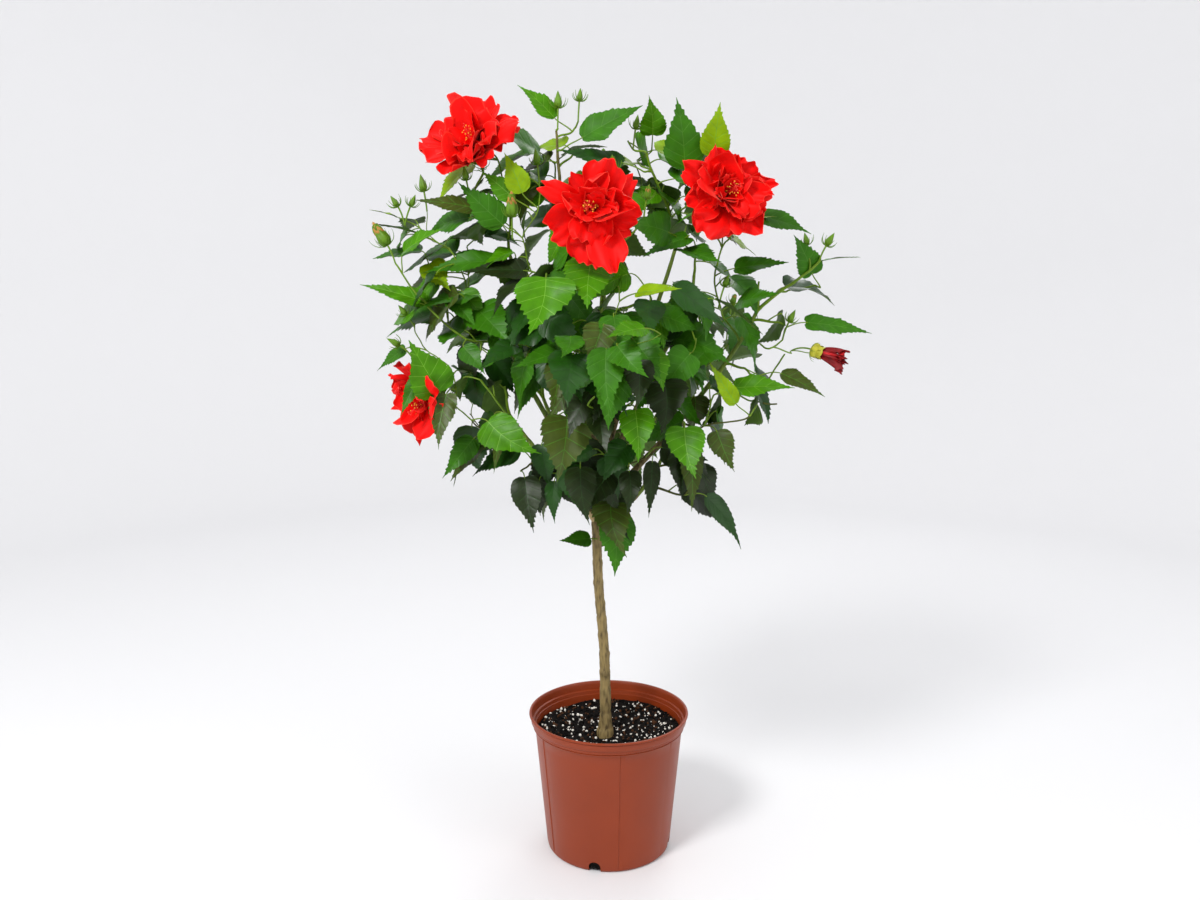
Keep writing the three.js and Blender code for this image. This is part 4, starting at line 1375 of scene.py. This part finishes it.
class Flowers:
    """Petals, stamens, calyxes and buds, each kind in its own pile."""

    def __init__(self):
        self.petals, self.stamens, self.green = Pile(), Pile(), Pile()
        self.rng = seeded("flowers")

    def calyx(self, base, axis):
        """The green cup behind an open bloom, with its whorl of bracts."""
        breadth = CALYX_LENGTH * 0.62
        lobes(self.green, base, axis, 5, CALYX_LENGTH, breadth, (18, 40), 0, self.rng)
        spikes(self.green, base, axis, 7, breadth, 0.75, 0.0007, 0, self.rng)

    def stalk(self, limbs, base, axis, radius=0.0012):
        """The stalk of a bloom or a bud, from the nearest fitting limb."""
        start = limbs.start_for(base - axis * 0.02)[0]
        gap = np.linalg.norm(base - start)
        leave = unit(unit(base - start) + UP * 0.5)
        path = curve(start, start + leave * gap * 0.35, base - axis * gap * 0.35, base, 12)
        tube(self.green, path, np.linspace(radius, radius * 1.15, 12), 8, 1)

    def bloom(self, limbs, throat, axis, outer, lean, petaloids, second):
        """A double bloom: ruffled outer petals, then curled petaloids of all sizes inside."""
        rng = self.rng
        for number, (clock, length, width) in enumerate(outer):
            base = throat + axis * 0.003 * (number % 2)
            petal(self.petals, base, axis, clock, length, width, (36, lean + rng.normal(0, 9)),
                  rng, 1.0, rng.uniform(-0.15, 0.35), rng.normal(0, 0.2))
        for number in range(petaloids):
            clock = number * GOLDEN_ANGLE + rng.normal(0, 18)
            share = 1 - number / petaloids
            length = 0.028 + 0.036 * share + rng.uniform(-0.006, 0.008)
            width = length * rng.uniform(0.6, 1.15)
            petal(self.petals, throat + axis * (0.012 - 0.008 * share), axis, clock, length, width,
                  (8 + 14 * share, rng.uniform(30, 60) + 30 * share), rng, 1.25,
                  rng.uniform(0.2, 1.5), rng.normal(0, 0.55))
        out = clock_direction(axis, second)
        for number in range(4):
            petal(self.petals, throat + out * SECOND_THROAT + axis * 0.006, unit(axis + out * 0.35),
                  rng.uniform(0, 30) + number * 90, 0.034, 0.036, (10, 58), rng, 0.9, 0.8)
        self.column(throat, axis)
        base = throat - axis * 0.020
        self.calyx(base, axis)
        self.stalk(limbs, base, axis, 0.0016)

    def column(self, throat, axis):
        """The staminal column with its anthers and its five stigmas."""
        rng, length = self.rng, COLUMN_LENGTH
        lean = unit(axis + rng.normal(0, 0.12, 3) - UP * 0.1)
        path = curve(throat, throat + axis * length * 0.5, throat + lean * length * 0.75,
                     throat + lean * length, 10)
        tube(self.stamens, path, np.linspace(0.0022, 0.0012, 10), 10, 0)
        for number in range(ANTHER_COUNT):
            place = throat + lean * length * (0.45 + 0.5 * number / ANTHER_COUNT)
            out = unit(rng.normal(0, 1, 3))
            out = unit(out - lean * out.dot(lean) + lean * 0.3)
            tip = place + out * rng.uniform(0.006, 0.011)
            tube(self.stamens, np.linspace(place, tip, 3), (0.0003, 0.0003, 0.00025), 4, 0)
            lump(self.stamens, tip, np.array((1, 0.8, 0.7)) * 0.0014, rng, 1)
        for _ in range(5):
            out = unit(rng.normal(0, 1, 3) + lean * 0.8)
            end = throat + lean * length
            tip = end + lean * 0.003 + out * 0.006
            tube(self.stamens, np.linspace(end, tip, 3), (0.0005, 0.0004, 0.0004), 5, 0)
            lump(self.stamens, tip, np.ones(3) * 0.0013, rng, 0)

    def bud(self, limbs, base, axis, length, opening):
        """A bud in its whorl of bracts, with the petals out of it when it is opening."""
        rng = self.rng
        radius = length * 0.24
        pointed(self.green, base, axis, length * (1 - 0.15 * opening), radius, 0, 0.5, 5, 0.5)
        if opening > 0:
            pointed(self.petals, base + axis * length * 0.36, axis, length * (0.56 + 0.2 * opening),
                    radius * 0.8, 3, 0.55, 5, 3.0)
            lobes(self.green, base, axis, 5, length * 0.86, length * 0.4, (14, 2), 0, rng)
        spikes(self.green, base - axis * 0.001, axis, 9, 0.009 + length * 0.4, 0.7, 0.0008, 0, rng)
        self.stalk(limbs, base, axis)

    def spent(self, limbs, base, axis, length):
        """A finished bloom, its petals rolled up tight, in a pale calyx."""
        rng = self.rng
        pointed(self.green, base - axis * 0.001, axis, length * 0.4, length * 0.23, 2, 0.7, 5, 0.5)
        for number in range(12):
            # Every third petal takes the paler red, partly uneven colour and partly a painted
            # highlight.
            petal(self.petals, base + axis * length * 0.06, axis, number * GOLDEN_ANGLE,
                  length * rng.uniform(0.8, 1.1), length * rng.uniform(0.24, 0.36),
                  (rng.uniform(22, 44), rng.uniform(-18, 10)), rng, 1.7, 1.7, rng.normal(0, 0.9),
                  5 if number % 3 == 0 else 4)
        lobes(self.green, base, axis, 5, length * 0.44, length * 0.36, (56, 4), 2, rng)
        spikes(self.green, base, axis, 8, length * 0.36, 0.9, 0.0006, 0, rng)
        self.stalk(limbs, base, axis)

    def make(self):
        stamens = [living("column", linear(232, 60, 50), 0.5, 0.1, 200.0),
                   living("anther", linear(240, 190, 60), 0.7, 0.12, 300.0)]
        green = [living("calyx", linear(88, 126, 20), 0.48, 0.15, 120.0),
                 living("bloom_stalk", linear(98, 132, 26), 0.45, 0.12, 90.0),
                 living("calyx_pale", linear(176, 172, 52), 0.5, 0.12, 120.0)]
        self.petals.piece("petals", petal_materials(), "bloom")
        self.stamens.piece("stamens", stamens, "bloom")
        self.green.piece("calyxes", green, "foliage")


def make_flowers(limbs):
    flowers = Flowers()
    for mass, shares, heading, pitch, *form in BLOOMS:
        flowers.bloom(limbs, spot(mass, shares), towards(heading, pitch), OUTER_PETALS[mass], *form)
    for mass, shares, heading, pitch, length, opening in BUDS:
        flowers.bud(limbs, spot(mass, shares), towards(heading, pitch), length, opening)
    mass, shares, heading, pitch, length = SPENT_BLOOM
    flowers.spent(limbs, spot(mass, shares), towards(heading, pitch), length)
    flowers.make()


# ---------------------------------------------------------------- stage

def make_stage():
    """A plain pale floor that sweeps up into a round backdrop."""
    flat, wall, height = 2.7, 3.7, 3.2
    profile = [(0.02, 0.0), (1.0, 0.0), (2.0, 0.0), (flat, 0.0)]
    profile += [(flat + (wall - flat) * math.sin(a), (wall - flat) * (1 - math.cos(a)))
                for a in np.linspace(0.1, math.pi / 2, 14)]
    profile += [(wall, height)]
    sides = 96
    angles = np.arange(sides) * 2 * math.pi / sides
    sweep = Pile()
    sweep.add([[(r * math.cos(a), r * math.sin(a), z) for a in angles] for r, z in profile],
              grid_faces(len(profile), sides, True), 0)
    sweep.cap(np.arange(sides), (0, 0, 0))
    sweep.made("floor", [shader_of("studio_floor", linear(232, 232, 233), 0.6)[0]])


def area_light(name, place, aim, size, power):
    lamp = bpy.data.lights.new(name, "AREA")
    lamp.shape, lamp.size, lamp.energy = "DISK", size, power
    made = placed(name, lamp)
    made.location = place
    made.rotation_euler = (Vector(aim) - Vector(place)).to_track_quat("-Z", "Y").to_euler()
    made.visible_camera = False


def make_light():
    world = bpy.data.worlds.new("studio")
    world.use_nodes = True
    background = world.node_tree.nodes["Background"]
    background.inputs["Color"].default_value = linear(244, 244, 246)
    background.inputs["Strength"].default_value = 0.86
    bpy.context.scene.world = world
    area_light("key", (-1.5, -2.0, 2.8), (0, 0, 0.7), 0.9, 76)
    area_light("fill", (2.2, -1.6, 1.7), (0, 0, 0.7), 1.6, 14)
    area_light("rim", (0.8, 2.2, 2.6), (0, 0, 0.8), 1.4, 16)
    bpy.context.scene.view_settings.view_transform = "Standard"


def make_camera():
    """The camera at the photograph's angle, looking a little down at the plant."""
    camera = bpy.data.cameras.new("camera")
    camera.lens = 30.63
    made = placed("camera", camera)
    made.location = (-0.0138, -1.5525, 0.889)
    made.rotation_euler = (math.pi / 2 - 0.156, 0, 0)
    bpy.context.scene.camera = made


# ---------------------------------------------------------------- the whole plant

def make_plant():
    rng = seeded("wood")
    limbs = Limbs()
    stem_line = make_stem(limbs, rng)
    make_boughs(limbs, stem_line, rng)
    twigs = grow_twigs(limbs, stem_line[-1])
    foliage = Foliage()
    foliage.keep_clear = [(spot(mass, shares), towards(heading, pitch), BLOOM_REACH)
                          for mass, shares, heading, pitch, *_ in BLOOMS]
    feature_leaves(foliage, limbs)
    foliage.shown += [spot(mass, shares) for mass, shares, *_ in (*BUDS, SPENT_BLOOM)]
    grown_leaves(foliage, twigs)
    foliage.make()
    make_flowers(limbs)
    make_twigs(twigs)


make_stage()
make_light()
make_camera()
make_pot()
make_soil()
make_plant()
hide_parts(*MASSES)
